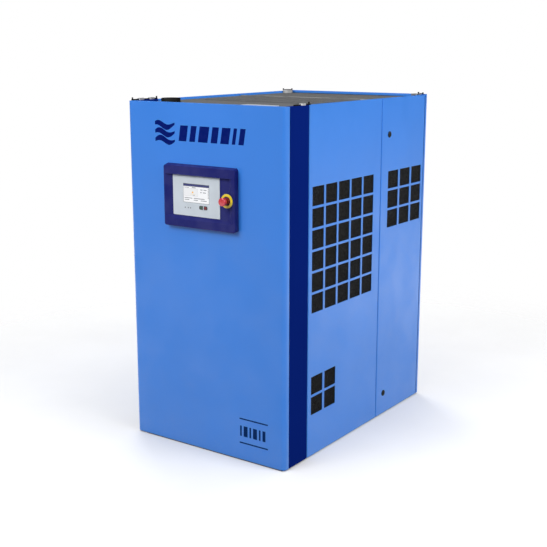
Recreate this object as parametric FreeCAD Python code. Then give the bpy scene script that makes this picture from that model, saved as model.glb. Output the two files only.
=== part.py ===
"""Packaged screw compressor with a built-in refrigerated air dryer, in a sheet-steel cabinet.

The row frame has its origin on the floor under the middle of the cabinet. +Z is up, the operator
stands on the -Y side, and +X is to the operator's right. All sizes are in millimetres.

The machine is a welded skid with a post-and-rail frame, clad in folded panels. The front half holds
the main motor, the screw airend and, under the roof, the oil and air cooler with its fan. The rear
bay behind the right door holds the dryer: condenser, hermetic refrigerant compressor, heat
exchanger and water separator. The rear bay behind the left door holds the oil separator tank.
"""
import FreeCAD
import Part
import math
import os

V = FreeCAD.Vector
X, Y, Z = V(1, 0, 0), V(0, 1, 0), V(0, 0, 1)

# ---- driving dimensions -------------------------------------------------------------------------
WIDTH, DEPTH, HEIGHT = 882.0, 1296.0, 1618.0
HALF_W, HALF_D = WIDTH / 2, DEPTH / 2
SHEET = 2.0                      # cladding and roof sheet
GAP = 3.0                        # shadow gap between neighbouring panels
DOOR_GAP = 5.0                   # wider gap along the free edge of a door
FLOOR_GAP = 6.0                  # the cladding hangs this far above the floor
PANEL_DEPTH = 24.0               # depth of the folded returns of side panels and doors
FOLD_R = 5.0                     # outer fold radius of side panels and doors
LIP = 12.0                       # height of the lip that closes the top return
FRONT_DEPTH = 34.0               # how far the front panel wraps round onto each side
FRONT_R = 20.0                   # outer radius of the front panel's vertical edges
REAR_DEPTH = 21.0
REAR_RISE = 4.0                  # the rear panel stands this much higher than the doors
STRIP_W = 146.0                  # dark corner strip behind the front panel
SEAM_Y = 177.0                   # joint between the fixed side panel and the rear side door

# derived cladding positions along Y
FRONT_Y = -HALF_D
STRIP_Y0 = FRONT_Y + FRONT_DEPTH + GAP
STRIP_Y1 = STRIP_Y0 + STRIP_W
SIDE_Y0, SIDE_Y1 = STRIP_Y1 + GAP, SEAM_Y - DOOR_GAP / 2
REAR_Y = HALF_D - REAR_DEPTH
DOOR_Y0, DOOR_Y1 = SEAM_Y + DOOR_GAP / 2, REAR_Y - GAP

# frame
BASE_H = 90.0
TUBE = 40.0                      # square tube of the posts and rails
TUBE_WALL = 2.5
POST_X = 411.0                   # outer face of the posts
RAIL_TOP = 1606.0
DECK_Z = RAIL_TOP                # underside of the roof sheets
ROOF_SEAM_Y = 190.0              # joint between the two roof sheets

# grilles: (first opening y, top z, columns, rows, opening width, column gap)
CELL_H, ROW_GAP = 86.5, 11.0
INTAKE_GRILLE = (-435.0, 1263.0, 5, 6, 96.0, 15.0)
MOTOR_GRILLE = (-434.0, 388.0, 2, 2, 97.0, 17.0)
DRYER_GRILLE = (248.0, 1263.0, 3, 3, 105.0, 17.5)
MAT_T, MAT_MARGIN = 10.0, 10.0

# latches and hinges of the doors
LATCH_Y, LATCH_Z = 252.0, (1443.0, 115.0)
HINGE_X, HINGE_Y, HINGE_Z = 433.0, 615.0, (180.0, 1370.0)
HINGE_H = 60.0

# controller
BEZEL_X0, BEZEL_X1, BEZEL_Z0, BEZEL_Z1, BEZEL_T = -213.0, 195.0, 1066.0, 1348.0, 27.0
BEZEL_DRAFT_X, BEZEL_DRAFT_Z = 4.5, 6.5      # how far its left and top sides lean in
FACE_X0, FACE_X1, FACE_Z0, FACE_Z1 = -165.0, 103.0, 1117.5, 1300.5
FACE_Y = FRONT_Y - 14.0          # front of the light faceplate
SCREEN = (-104.5, 44.0, 1178.5, 1263.5)
KEY_W, KEY_H, KEY_Z = 20.0, 17.0, 1160.0
START_X, STOP_X = -3.0, 23.0
LAMPS_X, LAMP_Z = (-95.0, -77.0, -64.0), 1154.5
ESTOP_X, ESTOP_Z, ESTOP_RING_R = 153.0, 1205.0, 31.5
ESTOP_Y = FRONT_Y - BEZEL_T      # face the legend ring sits on
ESTOP_BORE_R = 6.06              # the plunger has a radius of 6 and travels 6

# drive line: the motor shaft is in line with the male rotor
SHAFT_X, SHAFT_Z = 60.0, 300.0
MALE_LOBES, FEMALE_LOBES = 4, 6
ROTOR_DISTANCE = 100.0
MALE_PITCH_R = ROTOR_DISTANCE * MALE_LOBES / (MALE_LOBES + FEMALE_LOBES)
FEMALE_PITCH_R = ROTOR_DISTANCE - MALE_PITCH_R
LOBE_R = 21.0
ROTOR_Y0, ROTOR_L = -40.0, 180.0
ROTOR_CLEAR = 0.8
MALE_TWIST = 240.0               # wrap of the male rotor in degrees
FEMALE_X = SHAFT_X - ROTOR_DISTANCE
AIREND_MID_X = SHAFT_X - ROTOR_DISTANCE / 2
INTAKE_Y, INTAKE_NECK = 20.0, 150.0      # inlet on top of the airend and its height over the shaft

# coolers and fans
COOLER_C = V(0, -20, 0)
COOLER_LX, COOLER_LY, COOLER_Z0, COOLER_Z1 = 600.0, 420.0, 1430.0, 1560.0
FAN_R, FAN_HUB_R, FAN_Z0, FAN_H = 190.0, 55.0, 1352.0, 44.0
COND_X, COND_Y, COND_Z, COND_FAN_R = 310.0, 424.0, 1115.0, 125.0


# ---- helpers ------------------------------------------------------------------------------------
def box(x0, x1, y0, y1, z0, z1):
    return Part.makeBox(x1 - x0, y1 - y0, z1 - z0, V(x0, y0, z0))


def cyl(r, start, end):
    start, end = V(*start), V(*end)
    return Part.makeCylinder(r, (end - start).Length, start, end - start)


def tube(r_out, r_in, start, end):
    return cyl(r_out, start, end).cut(cyl(r_in, start, end))


def fuse(*shapes):
    return shapes[0].fuse(list(shapes[1:])).removeSplitter() if len(shapes) > 1 else shapes[0]


def group(*shapes):
    """Separate solids that share one node."""
    return Part.makeCompound(list(shapes))


def mirrored(shape):
    return shape.mirror(V(0, 0, 0), X)


def edges_along(shape, direction, test):
    """Straight edges parallel to direction whose middle point passes test."""
    found = []
    for edge in shape.Edges:
        a, b = edge.Vertexes[0].Point, edge.Vertexes[-1].Point
        length = (b - a).Length
        if length > 1e-6 and abs((b - a).dot(direction)) > 0.999 * length and test((a + b) * 0.5):
            found.append(edge)
    return found


def rounded_box(x0, x1, y0, y1, z0, z1, radius, direction):
    solid = box(x0, x1, y0, y1, z0, z1)
    return solid.makeFillet(radius, edges_along(solid, direction, lambda p: True))


def square_tube(x0, x1, y0, y1, z0, z1, along):
    """Hollow tube with open ends along axis 'x', 'y' or 'z'."""
    w = TUBE_WALL
    inner = {
        "x": (x0, x1, y0 + w, y1 - w, z0 + w, z1 - w),
        "y": (x0 + w, x1 - w, y0, y1, z0 + w, z1 - w),
        "z": (x0 + w, x1 - w, y0 + w, y1 - w, z0, z1),
    }[along]
    return box(x0, x1, y0, y1, z0, z1).cut(box(*inner))


def bar_through(points, r):
    """Round bar through the points, with ball corners."""
    points = [V(*p) for p in points]
    parts = [Part.makeCylinder(r, (b - a).Length, a, b - a) for a, b in zip(points, points[1:])]
    parts += [Part.makeSphere(r, p) for p in points[1:-1]]
    return fuse(*parts)


def pipe(points, r, wall):
    return bar_through(points, r).cut(bar_through(points, r - wall))


def blade_ring(count, hub_r, tip_r, height, pitch_deg, thickness):
    """Fan wheel about +Z standing on z = 0: a hub with flat pitched blades."""
    hub = Part.makeCylinder(hub_r, height)
    chord = height * 0.92 / math.sin(math.radians(pitch_deg))
    blades = []
    for i in range(count):
        root = V(hub_r * 0.6, -chord / 2, -thickness / 2)
        blade = Part.makeBox(tip_r * 1.1, chord, thickness, root)
        blade.rotate(V(0, 0, 0), X, pitch_deg)
        blade.translate(V(0, 0, height / 2))
        blade.rotate(V(0, 0, 0), Z, 360.0 * i / count)
        blades.append(blade)
    envelope = Part.makeCylinder(tip_r, height)
    return fuse(hub, *blades).common(envelope)


# ---- cladding -----------------------------------------------------------------------------------
def side_pan(y0, y1):
    """Folded panel on the +X side: outer skin, four returns and a lip under the top return."""
    x0, x1, z0, z1 = HALF_W - PANEL_DEPTH, HALF_W, FLOOR_GAP, HEIGHT
    outer = box(x0, x1, y0, y1, z0, z1)
    outer = outer.makeFillet(FOLD_R, edges_along(outer, Z, lambda p: p.x > x1 - 1))
    inner = box(x0 - 1, x1 - SHEET, y0 + SHEET, y1 - SHEET, z0 + SHEET, z1 - SHEET)
    inner = inner.makeFillet(FOLD_R - SHEET, edges_along(inner, Z, lambda p: p.x > x1 - SHEET - 1))
    lip = box(x0, x0 + SHEET, y0, y1, z1 - LIP, z1)
    return fuse(outer.cut(inner), lip)


def grille_cutters(grille):
    y0, z_top, columns, rows, width, gap = grille
    cutters = []
    for c in range(columns):
        for r in range(rows):
            y = y0 + c * (width + gap)
            z = z_top - r * (CELL_H + ROW_GAP)
            cutters.append(box(HALF_W - 2 * SHEET, HALF_W + 1, y, y + width, z - CELL_H, z))
    return cutters


def grille_extent(grille, margin):
    """(y0, y1, z0, z1) of a grille grown by margin."""
    y0, z_top, columns, rows, width, gap = grille
    y1 = y0 + columns * (width + gap) - gap
    z0 = z_top - rows * (CELL_H + ROW_GAP) + ROW_GAP
    return y0 - margin, y1 + margin, z0 - margin, z_top + margin


def filter_mat(grille):
    """Flat filter mat just behind a grille."""
    y0, y1, z0, z1 = grille_extent(grille, MAT_MARGIN)
    x1 = HALF_W - SHEET
    return box(x1 - MAT_T, x1, y0, y1, z0, z1)


def mat_rails(grille):
    """Folded rails welded inside the skin, which hold the mat at its top and bottom edges."""
    y0, y1, z0, z1 = grille_extent(grille, MAT_MARGIN)
    x1 = HALF_W - SHEET
    x0 = x1 - MAT_T - 1.5
    lower = fuse(box(x0, x1, y0, y1, z0 - 1.5, z0), box(x0, x0 + 1.5, y0, y1, z0 - 1.5, z0 + 9))
    upper = fuse(box(x0, x1, y0, y1, z1, z1 + 1.5), box(x0, x0 + 1.5, y0, y1, z1 - 9, z1 + 1.5))
    return [lower, upper]


def latch_holes(pan):
    holes = [cyl(12.2, (HALF_W - 10, LATCH_Y, z), (HALF_W + 1, LATCH_Y, z)) for z in LATCH_Z]
    return pan.cut(holes)


def hinge_notches(pan):
    """The door's rear return is notched where the hinges pass it."""
    x0, x1 = HALF_W - PANEL_DEPTH - 1, HALF_W - 2 * SHEET
    y0, y1 = DOOR_Y1 - SHEET - 2, DOOR_Y1 + 1
    return pan.cut([box(x0, x1, y0, y1, z - 5, z + HINGE_H + 5) for z in HINGE_Z])


def front_profile(half_w, y_front, y_back, r):
    """Closed plan outline with rounded front corners."""
    k = r * (1 - math.sqrt(0.5))
    p = [V(-half_w, y_back, 0), V(-half_w, y_front + r, 0), V(-half_w + k, y_front + k, 0)]
    p.append(V(-half_w + r, y_front, 0))
    q = [V(-v.x, v.y, 0) for v in reversed(p)]
    edges = [
        Part.makeLine(p[0], p[1]),
        Part.Arc(p[1], p[2], p[3]).toShape(),
        Part.makeLine(p[3], q[0]),
        Part.Arc(q[0], q[1], q[2]).toShape(),
        Part.makeLine(q[2], q[3]),
        Part.makeLine(q[3], p[0]),
    ]
    return Part.Face(Part.Wire(edges))


def front_panel():
    y_back = FRONT_Y + FRONT_DEPTH
    height = HEIGHT - FLOOR_GAP
    outer = front_profile(HALF_W, FRONT_Y, y_back, FRONT_R).extrude(V(0, 0, height))
    inner = front_profile(HALF_W - SHEET, FRONT_Y + SHEET, y_back + 1, FRONT_R - SHEET)
    inner = inner.extrude(V(0, 0, height - 2 * SHEET))
    inner.translate(V(0, 0, SHEET))
    panel = outer.cut(inner)
    panel.translate(V(0, 0, FLOOR_GAP))
    lip = box(-HALF_W + SHEET, HALF_W - SHEET, y_back - SHEET, y_back, HEIGHT - LIP, HEIGHT - SHEET / 2)
    opening = box(FACE_X0 + 14, FACE_X1 - 10, FRONT_Y - 1, FRONT_Y + 3, FACE_Z0 + 10, FACE_Z1 - 9)
    estop = cyl(11.3, (ESTOP_X, FRONT_Y - 1, ESTOP_Z), (ESTOP_X, FRONT_Y + 3, ESTOP_Z))
    return fuse(panel, lip).cut([opening, estop])


def right_side_panel():
    """Fixed panel with the cooling-air grille and the smaller motor-air grille."""
    pan = side_pan(SIDE_Y0, SIDE_Y1).cut(grille_cutters(INTAKE_GRILLE) + grille_cutters(MOTOR_GRILLE))
    return fuse(pan, *mat_rails(INTAKE_GRILLE), *mat_rails(MOTOR_GRILLE))


def door_pan():
    return hinge_notches(latch_holes(side_pan(DOOR_Y0, DOOR_Y1)))


def right_door():
    return fuse(door_pan().cut(grille_cutters(DRYER_GRILLE)), *mat_rails(DRYER_GRILLE))


def door_foam(lower_z1, upper_z0):
    """Two acoustic pads glued inside a door, cut back round the latches."""
    x0, x1 = HALF_W - PANEL_DEPTH + 3, HALF_W - SHEET
    rooms = [box(x0 - 1, x1 + 1, LATCH_Y - 60, LATCH_Y + 30, z - 62, z + 62) for z in LATCH_Z]
    lower = box(x0, x1, DOOR_Y0 + 22, DOOR_Y1 - 46, FLOOR_GAP + 20, lower_z1)
    upper = box(x0, x1, DOOR_Y0 + 22, DOOR_Y1 - 46, upper_z0, HEIGHT - 30)
    return [lower.cut(rooms), upper.cut(rooms)]


REAR_SCREWS = [(sx * 405.0, z) for sx in (-1, 1) for z in (120.0, 500.0, 1000.0, 1480.0)]
OUTLET_X, OUTLET_Z = -250.0, 1420.0      # compressed-air outlet through the rear panel
OUTLET_THREAD_R = 22.4                   # core of a G 1 1/2 female thread
DRAIN_X, DRAIN_Z = 145.0, 150.0          # condensate outlet through the rear panel


def rear_panel():
    """Lift-off rear panel with a louvred dryer outlet and clearance holes for the services."""
    y0, y1, top = REAR_Y, HALF_D, HEIGHT + REAR_RISE
    outer = box(-HALF_W, HALF_W, y0, y1, FLOOR_GAP, top)
    outer = outer.makeFillet(FOLD_R + 3, edges_along(outer, Z, lambda p: p.y > y1 - 1))
    inner = box(-HALF_W + SHEET, HALF_W - SHEET, y0 - 1, y1 - SHEET, FLOOR_GAP + SHEET, top - SHEET)
    inner = inner.makeFillet(FOLD_R + 3 - SHEET, edges_along(inner, Z, lambda p: p.y > y1 - SHEET - 1))
    lip = box(-HALF_W, HALF_W, y0, y0 + SHEET, top - LIP, top)
    cutters = [cyl(38.0, (OUTLET_X, y0 - 1, OUTLET_Z), (OUTLET_X, y1 + 1, OUTLET_Z)),
               cyl(14.0, (DRAIN_X, y0 - 1, DRAIN_Z), (DRAIN_X, y1 + 1, DRAIN_Z))]
    cutters += [cyl(4.5, (x, y1 - 5, z), (x, y1 + 1, z)) for x, z in REAR_SCREWS]
    for column_x in (40.0, 200.0):
        for i in range(12):
            z = 980.0 + 24.0 * i
            cutters.append(box(column_x, column_x + 140.0, y1 - 5, y1 + 1, z, z + 9.0))
    return fuse(outer.cut(inner), lip).cut(cutters)


def rear_screws():
    """Domed captive screws with knurled heads that hold the rear panel."""
    screws = []
    for x, z in REAR_SCREWS:
        head = cyl(11.0, (x, HALF_D, z), (x, HALF_D + 6, z))
        head = head.makeFillet(2.0, [e for e in head.Edges if abs(e.BoundBox.YMin - HALF_D - 6) < 1e-6])
        slot = box(x - 12, x + 12, HALF_D + 4.2, HALF_D + 7, z - 1, z + 1)
        screws.append(fuse(head, cyl(4.0, (x, HALF_D - 12, z), (x, HALF_D, z))).cut(slot))
    return group(*screws)


# ---- roof ---------------------------------------------------------------------------------------
GROMMET_X, GROMMET_Y, GROMMET_R = -315.0, -490.0, 45.0
DECK_X = HALF_W - PANEL_DEPTH - 3
DECK_Y0, DECK_Y1 = FRONT_Y + FRONT_DEPTH + GAP, REAR_Y - GAP
DECK_TOP = DECK_Z + SHEET
EXHAUST = (-300.0, 300.0, -230.0, 170.0)


def roof_plates():
    """Front and rear roof sheets with upstands at their joint, and a raised gland plate."""
    seam = ROOF_SEAM_Y
    front = fuse(box(-DECK_X, DECK_X, DECK_Y0, seam - 1, DECK_Z, DECK_TOP),
                 box(-DECK_X, DECK_X, seam - 1 - SHEET, seam - 1, DECK_Z, DECK_Z + 6))
    x0, x1, y0, y1 = EXHAUST
    opening = box(x0, x1, y0, y1, DECK_Z - 1, DECK_Z + 3)
    entry = cyl(32.3, (GROMMET_X, GROMMET_Y, DECK_Z - 1), (GROMMET_X, GROMMET_Y, DECK_Z + 3))
    rear = fuse(box(-DECK_X, DECK_X, seam + 1, DECK_Y1, DECK_Z, DECK_TOP),
                box(-DECK_X, DECK_X, seam + 1, seam + 1 + SHEET, DECK_Z, DECK_Z + 6))
    swages = [box(-DECK_X + 60, DECK_X - 60, y, y + 14, DECK_TOP, DECK_TOP + 1.5)
              for y in (300.0, 400.0, 500.0)]
    gland_plate = rounded_box(140, 312, -560, -505, DECK_TOP, DECK_TOP + 6, 4, Z)
    return group(front.cut([opening, entry]), fuse(rear, *swages), gland_plate)


def exhaust_guard():
    """Slotted guard laid over the roof opening."""
    x0, x1, y0, y1 = EXHAUST
    guard = rounded_box(x0 - 15, x1 + 15, y0 - 15, y1 + 15, DECK_TOP, DECK_TOP + 3, 8, Z)
    slots = []
    columns, rows = 6, 20
    pitch_x, pitch_y = (x1 - x0) / columns, (y1 - y0) / rows
    for c in range(columns):
        for r in range(rows):
            sx, sy = x0 + c * pitch_x + 8, y0 + r * pitch_y + 4
            slots.append(box(sx, sx + pitch_x - 16, sy, sy + pitch_y - 8, DECK_TOP - 1, DECK_TOP + 4))
    return guard.cut(slots)


def cable_grommet():
    """Moulded cable entry in the roof over the electrical cabinet."""
    c = (GROMMET_X, GROMMET_Y)
    head = cyl(GROMMET_R, (*c, DECK_TOP), (*c, DECK_TOP + 20))
    head = head.makeFillet(4, [e for e in head.Edges if abs(e.BoundBox.ZMin - DECK_TOP - 20) < 1e-6])
    neck = cyl(32.0, (*c, DECK_Z - 14), (*c, DECK_TOP))
    entry = cyl(16.0, (*c, DECK_Z - 15), (*c, DECK_Z + 40))
    return fuse(head, neck).cut(entry)


# front lug bars on the cladding rim: (side, bar ends y0 and y1, shoe centres y, peg centres y)
FRONT_LUG_X = 432.0
FRONT_LUGS = [(-1, -628.0, -455.0, (-568.0, -495.0), (-625.0, -458.0)),
              (1, -570.0, -447.0, (-506.0,), (-456.0,))]
# rear lugs across the corners of the deck: (x, y, angle of the lug's long direction)
REAR_LUGS = [(-414.0, 623.0, 35.0), (414.0, 623.0, -35.0)]
LUG_PLATE_Z = 14.8               # underside of the bracket's plate above the deck


def rim_bar(side, y0, y1):
    x = side * FRONT_LUG_X
    return box(x - 4, x + 4, y0, y1, HEIGHT, HEIGHT + 6)


def front_lug_shoes(side, y0, y1, shoes, pegs):
    """Galvanised shoes that clamp the bar down on the rim."""
    x = side * FRONT_LUG_X
    blocks = [rounded_box(x - 7, x + 7, y - 18, y + 18, HEIGHT, HEIGHT + 9, 3, Z) for y in shoes]
    return [block.cut(rim_bar(side, y0, y1)) for block in blocks]


def front_lug_bar(side, y0, y1, shoes, pegs):
    """Lug bar with pegs turned up at its ends."""
    x = side * FRONT_LUG_X
    posts = [rounded_box(x - 3, x + 3, y - 3, y + 3, HEIGHT, HEIGHT + 14, 1.5, Z) for y in pegs]
    return fuse(rim_bar(side, y0, y1), *posts)


def across_corner(shape, place):
    x, y, angle = place
    shape.rotate(V(0, 0, 0), Z, angle)
    shape.translate(V(x, y, DECK_TOP))
    return shape


def rear_lug_block():
    """Folded bracket on the deck: foot, upright web and a plate that reaches out over the rims."""
    foot = rounded_box(-18, 18, -54, -38.4, 0, 1.6, 3, Z)
    web = box(-26, 26, -40, -38.4, 0, LUG_PLATE_Z)
    return fuse(foot, web, box(-26, 26, -40, -3, LUG_PLATE_Z, LUG_PLATE_Z + 1.6))


def rear_lug_bar():
    """Bar along the outer edge of the plate, with a peg at each end."""
    pegs = [rounded_box(x - 3.5, x + 3.5, -3, 3.5, LUG_PLATE_Z, LUG_PLATE_Z + 8.6, 1.5, Z) for x in (-24, 24)]
    return fuse(*pegs, box(-24, 24, -3, 2, LUG_PLATE_Z, LUG_PLATE_Z + 4.2))


def lug_shoes():
    front = [shoe for lug in FRONT_LUGS for shoe in front_lug_shoes(*lug)]
    rear = [across_corner(rear_lug_block(), place) for place in REAR_LUGS]
    return group(*front, *rear)


def lug_bars():
    front = [front_lug_bar(*lug) for lug in FRONT_LUGS]
    rear = [across_corner(rear_lug_bar(), place) for place in REAR_LUGS]
    return group(*front, *rear)


# ---- frame --------------------------------------------------------------------------------------
ANCHOR_X, ANCHOR_Y, ANCHOR_R = 370.0, 540.0, 7.0
ACCESS_R = 16.0                  # spanner holes above the anchor holes
CROSS_YS, CROSS_W = (-500.0, -250.0, -25.0, 130.0, 330.0, 480.0), 50.0


def base_frame():
    """Welded skid: side and end channels, cross members under the machines, and a toe plate in front."""
    t = 4.0
    half_w, half_d = POST_X - 2, 606.0

    def channel_y(side):
        web = box(side * half_w - t / 2, side * half_w + t / 2, -half_d, half_d, 0, BASE_H)
        inner = side * (half_w - 60)
        lo, hi = sorted((side * half_w, inner))
        lower, upper = box(lo, hi, -half_d, half_d, 0, t), box(lo, hi, -half_d, half_d, BASE_H - t, BASE_H)
        return fuse(web, lower, upper)

    def channel_x(y_web, y_in):
        lo, hi = sorted((y_web, y_in))
        x0, x1 = -half_w + 1, half_w - 1
        return fuse(box(x0, x1, y_web - t / 2, y_web + t / 2, 0, BASE_H),
                    box(x0, x1, lo, hi, 0, t), box(x0, x1, lo, hi, BASE_H - t, BASE_H))

    sides = [channel_y(-1), channel_y(1)]
    ends = [channel_x(-half_d, -half_d + 50), channel_x(half_d, half_d - 50)]
    crosses = [channel_x(y, y + CROSS_W) for y in CROSS_YS]
    toe_plate = box(-386, 425, FRONT_Y + 4, -half_d, 0, t)
    frame = fuse(*sides, *ends, *crosses, toe_plate)
    holes = []
    for sx in (-1, 1):
        for sy in (-1, 1):
            x, y = sx * ANCHOR_X, sy * ANCHOR_Y
            holes.append(cyl(ANCHOR_R, (x, y, -1), (x, y, t + 1)))
            holes.append(cyl(ACCESS_R, (x, y, BASE_H - t - 1), (x, y, BASE_H + 1)))
    return frame.cut(holes)


POST_YS = ((-605.0, -565.0), (158.0, 198.0), (575.0, 615.0))
CROSS_RAIL_YS = (POST_YS[0], (-260.0, -220.0), (180.0, 220.0), POST_YS[2])
DIVIDER_Y, HOT_AIR_X, AIR_PIPE_Z = 240.0, 278.0, 1490.0


def frame_tubes():
    """Six posts and the top rails. The middle posts carry strikes that the latches close behind."""
    parts = []
    for y0, y1 in POST_YS:
        post = square_tube(POST_X - TUBE, POST_X, y0, y1, BASE_H, RAIL_TOP - TUBE, "z")
        if (y0, y1) == POST_YS[1]:
            post = fuse(post, *[strike(y1, z) for z in LATCH_Z])
        parts += [post, mirrored(post)]
    z0, z1 = RAIL_TOP - TUBE, RAIL_TOP
    x0, x1 = POST_X - TUBE, POST_X
    long_rail = square_tube(x0, x1, POST_YS[0][0], POST_YS[2][1], z0, z1, "y")
    crosses = [square_tube(-x0, x0, y0, y1, z0, z1, "x") for y0, y1 in CROSS_RAIL_YS]
    return group(*parts, long_rail, mirrored(long_rail), *crosses)


def strike(y, z):
    """Angle welded to the middle post; the latch cam turns in behind its outer leg."""
    z0, z1 = max(z - 30, BASE_H + 2), z + 30
    x1 = POST_X + 5
    return fuse(box(POST_X - 26, x1, y, y + 3, z0, z1), box(x1 - 3, x1, y, y + 30, z0, z1))


def bay_divider():
    """Sheet wall between the machine bay and the rear bays, open where ducts and pipes pass."""
    y0, y1 = DIVIDER_Y, DIVIDER_Y + SHEET
    wall = box(-360, 360, y0, y1, BASE_H, RAIL_TOP - TUBE)
    openings = [box(-361, 150, y0 - 1, y1 + 1, BASE_H - 1, 900),
                cyl(26, (-HOT_AIR_X, y0 - 1, AIR_PIPE_Z), (-HOT_AIR_X, y1 + 1, AIR_PIPE_Z)),
                cyl(26, (HOT_AIR_X, y0 - 1, AIR_PIPE_Z), (HOT_AIR_X, y1 + 1, AIR_PIPE_Z))]
    return wall.cut(openings)


# ---- doors: latches and hinges -------------------------------------------------------------------
def latch_housing(z):
    x = HALF_W
    flange_ = cyl(15.5, (x, LATCH_Y, z), (x + 2.5, LATCH_Y, z))
    flange_ = flange_.makeFillet(1.5, [e for e in flange_.Edges if abs(e.BoundBox.XMin - x - 2.5) < 1e-6])
    barrel = cyl(12.0, (x - 24, LATCH_Y, z), (x, LATCH_Y, z))
    nut = cyl(17.0, (x - 8, LATCH_Y, z), (x - SHEET - 0.2, LATCH_Y, z))
    bore = cyl(8.05, (x - 30, LATCH_Y, z), (x + 3, LATCH_Y, z))
    return fuse(flange_, barrel, nut).cut(bore)


def latch_core(z, cam_side):
    """Turning core with a key slot; its cam points up (1) or down (-1) when unlatched."""
    x = HALF_W
    core = cyl(8.0, (x - 34, LATCH_Y, z), (x + 1.5, LATCH_Y, z))
    slot = box(x - 3, x + 2, LATCH_Y - 1.2, LATCH_Y + 1.2, z - 6.5, z + 6.5)
    cam_z0, cam_z1 = sorted((z - 9 * cam_side, z + 46 * cam_side))
    cam = rounded_box(x - 34, x - 30, LATCH_Y - 9, LATCH_Y + 9, cam_z0, cam_z1, 4, X)
    return fuse(core, cam).cut(slot)


def fixed_hinge(z):
    """Lower knuckle and pin, with the leaf screwed to the rear post."""
    c = (HINGE_X, HINGE_Y)
    knuckle = cyl(5.5, (*c, z), (*c, z + 30))
    pin = cyl(3.0, (*c, z + 30), (*c, z + HINGE_H - 2))
    web = box(POST_X, HINGE_X - 4, HINGE_Y - 4, HINGE_Y - 1, z, z + 30)
    leaf = box(POST_X, POST_X + 3, HINGE_Y - 28, HINGE_Y - 1, z, z + HINGE_H - 4)
    return fuse(knuckle, pin, web, leaf)


def door_hinge(z):
    """Upper knuckle, with the leaf welded inside the door skin."""
    c = (HINGE_X, HINGE_Y)
    z0, z1 = z + 31, z + HINGE_H
    barrel = cyl(5.5, (*c, z0), (*c, z1))
    leaf = box(HALF_W - SHEET - 2.5, HALF_W - SHEET, HINGE_Y - 33, HINGE_Y, z0, z1)
    return fuse(barrel, leaf).cut(cyl(3.06, (*c, z0 - 1), (*c, z1 - 1)))


# ---- controller and emergency stop ----------------------------------------------------------------
def bezel_outline(x0, x1, z0, z1, radius, y):
    """Rounded rectangle in the plane y, as a wire."""
    slab = rounded_box(x0, x1, y, y + 1, z0, z1, radius, Y)
    return [f for f in slab.Faces if abs(f.BoundBox.YMax - y) < 1e-6][0].OuterWire


def sunk_outline(corners, y):
    return Part.makePolygon([V(x, y, z) for x, z in corners + corners[:1]])


def controller_bezel():
    """Moulded surround with a sunk panel: long ramp on the left, sloping walls below and on the right."""
    y_front, floor = FRONT_Y - BEZEL_T, FRONT_Y - 12
    back = bezel_outline(BEZEL_X0, BEZEL_X1, BEZEL_Z0, BEZEL_Z1, 12, FRONT_Y)
    front = bezel_outline(BEZEL_X0 + BEZEL_DRAFT_X, BEZEL_X1, BEZEL_Z0, BEZEL_Z1 - BEZEL_DRAFT_Z, 10, y_front)
    body = Part.makeLoft([back, front], True, True)
    rim = [e for e in body.Edges if e.BoundBox.YMax < y_front + 1e-3]
    body = body.makeFillet(2, rim)
    left, right = BEZEL_X0 + BEZEL_DRAFT_X + 4, BEZEL_X1 - 16
    bottom, top = FACE_Z0 - 18, FACE_Z1 + 1.5
    sunk_front = [(left, top), (right, top), (right, bottom + 8), (right - 13, bottom),
                  (left + 60, bottom), (left, bottom + 9)]
    left, right, bottom, top = FACE_X0 - 3, BEZEL_X1 - 41, FACE_Z0 - 3, FACE_Z1 + 0.5
    sunk_floor = [(left, top), (right, top), (right, bottom + 3), (right - 3, bottom),
                  (left + 20, bottom), (left, bottom + 2)]
    body = body.cut(Part.makeLoft([sunk_outline(sunk_front, y_front - 1), sunk_outline(sunk_floor, floor)],
                                  True, True))
    boss = cyl(ESTOP_RING_R - 1, (ESTOP_X, y_front, ESTOP_Z), (ESTOP_X, FRONT_Y, ESTOP_Z))
    opening = box(FACE_X0 + 14, FACE_X1 - 10, y_front, FRONT_Y + 1, FACE_Z0 + 10, FACE_Z1 - 9)
    bore = cyl(11.3, (ESTOP_X, y_front - 1, ESTOP_Z), (ESTOP_X, FRONT_Y + 1, ESTOP_Z))
    return fuse(body, boss).cut([opening, bore])


def key_outline(x, side, grow):
    """Key-shaped prism: square on one side and half round on the other (side -1 left, +1 right)."""
    half_w, half_h = KEY_W / 2 + grow, KEY_H / 2 + grow
    solid = box(x - half_w, x + half_w, FACE_Y - 1.5, FACE_Y + 4, KEY_Z - half_h, KEY_Z + half_h)
    corners = edges_along(solid, Y, lambda p: (p.x - x) * side > 0)
    return solid.makeFillet(6.5, corners)


def controller_unit():
    """Light faceplate and the housing behind it, with pockets for keys, lamps and screen."""
    plate = rounded_box(FACE_X0, FACE_X1, FACE_Y, FACE_Y + 2, FACE_Z0, FACE_Z1, 3, Y)
    housing = box(FACE_X0 + 15, FACE_X1 - 11, FACE_Y + 2, FACE_Y + 58, FACE_Z0 + 11, FACE_Z1 - 10)
    x0, x1, z0, z1 = SCREEN
    pockets = [box(x0 - 0.3, x1 + 0.3, FACE_Y - 1, FACE_Y + 1.2, z0 - 0.3, z1 + 0.3),
               key_outline(START_X, -1, 0.1), key_outline(STOP_X, 1, 0.1)]
    pockets += [cyl(3.2, (x, FACE_Y - 1, LAMP_Z), (x, FACE_Y + 3, LAMP_Z)) for x in LAMPS_X]
    return fuse(plate, housing).cut(pockets)


def display_glass():
    x0, x1, z0, z1 = SCREEN
    return box(x0, x1, FACE_Y - 0.4, FACE_Y + 1.0, z0, z1)


def key(x, side):
    """A key that stands 1.5 mm proud and has 1 mm of travel left behind it."""
    solid = key_outline(x, side, 0.0)
    return solid.common(box(x - 20, x + 20, FACE_Y - 1.5, FACE_Y + 2.6, KEY_Z - 20, KEY_Z + 20))


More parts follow.
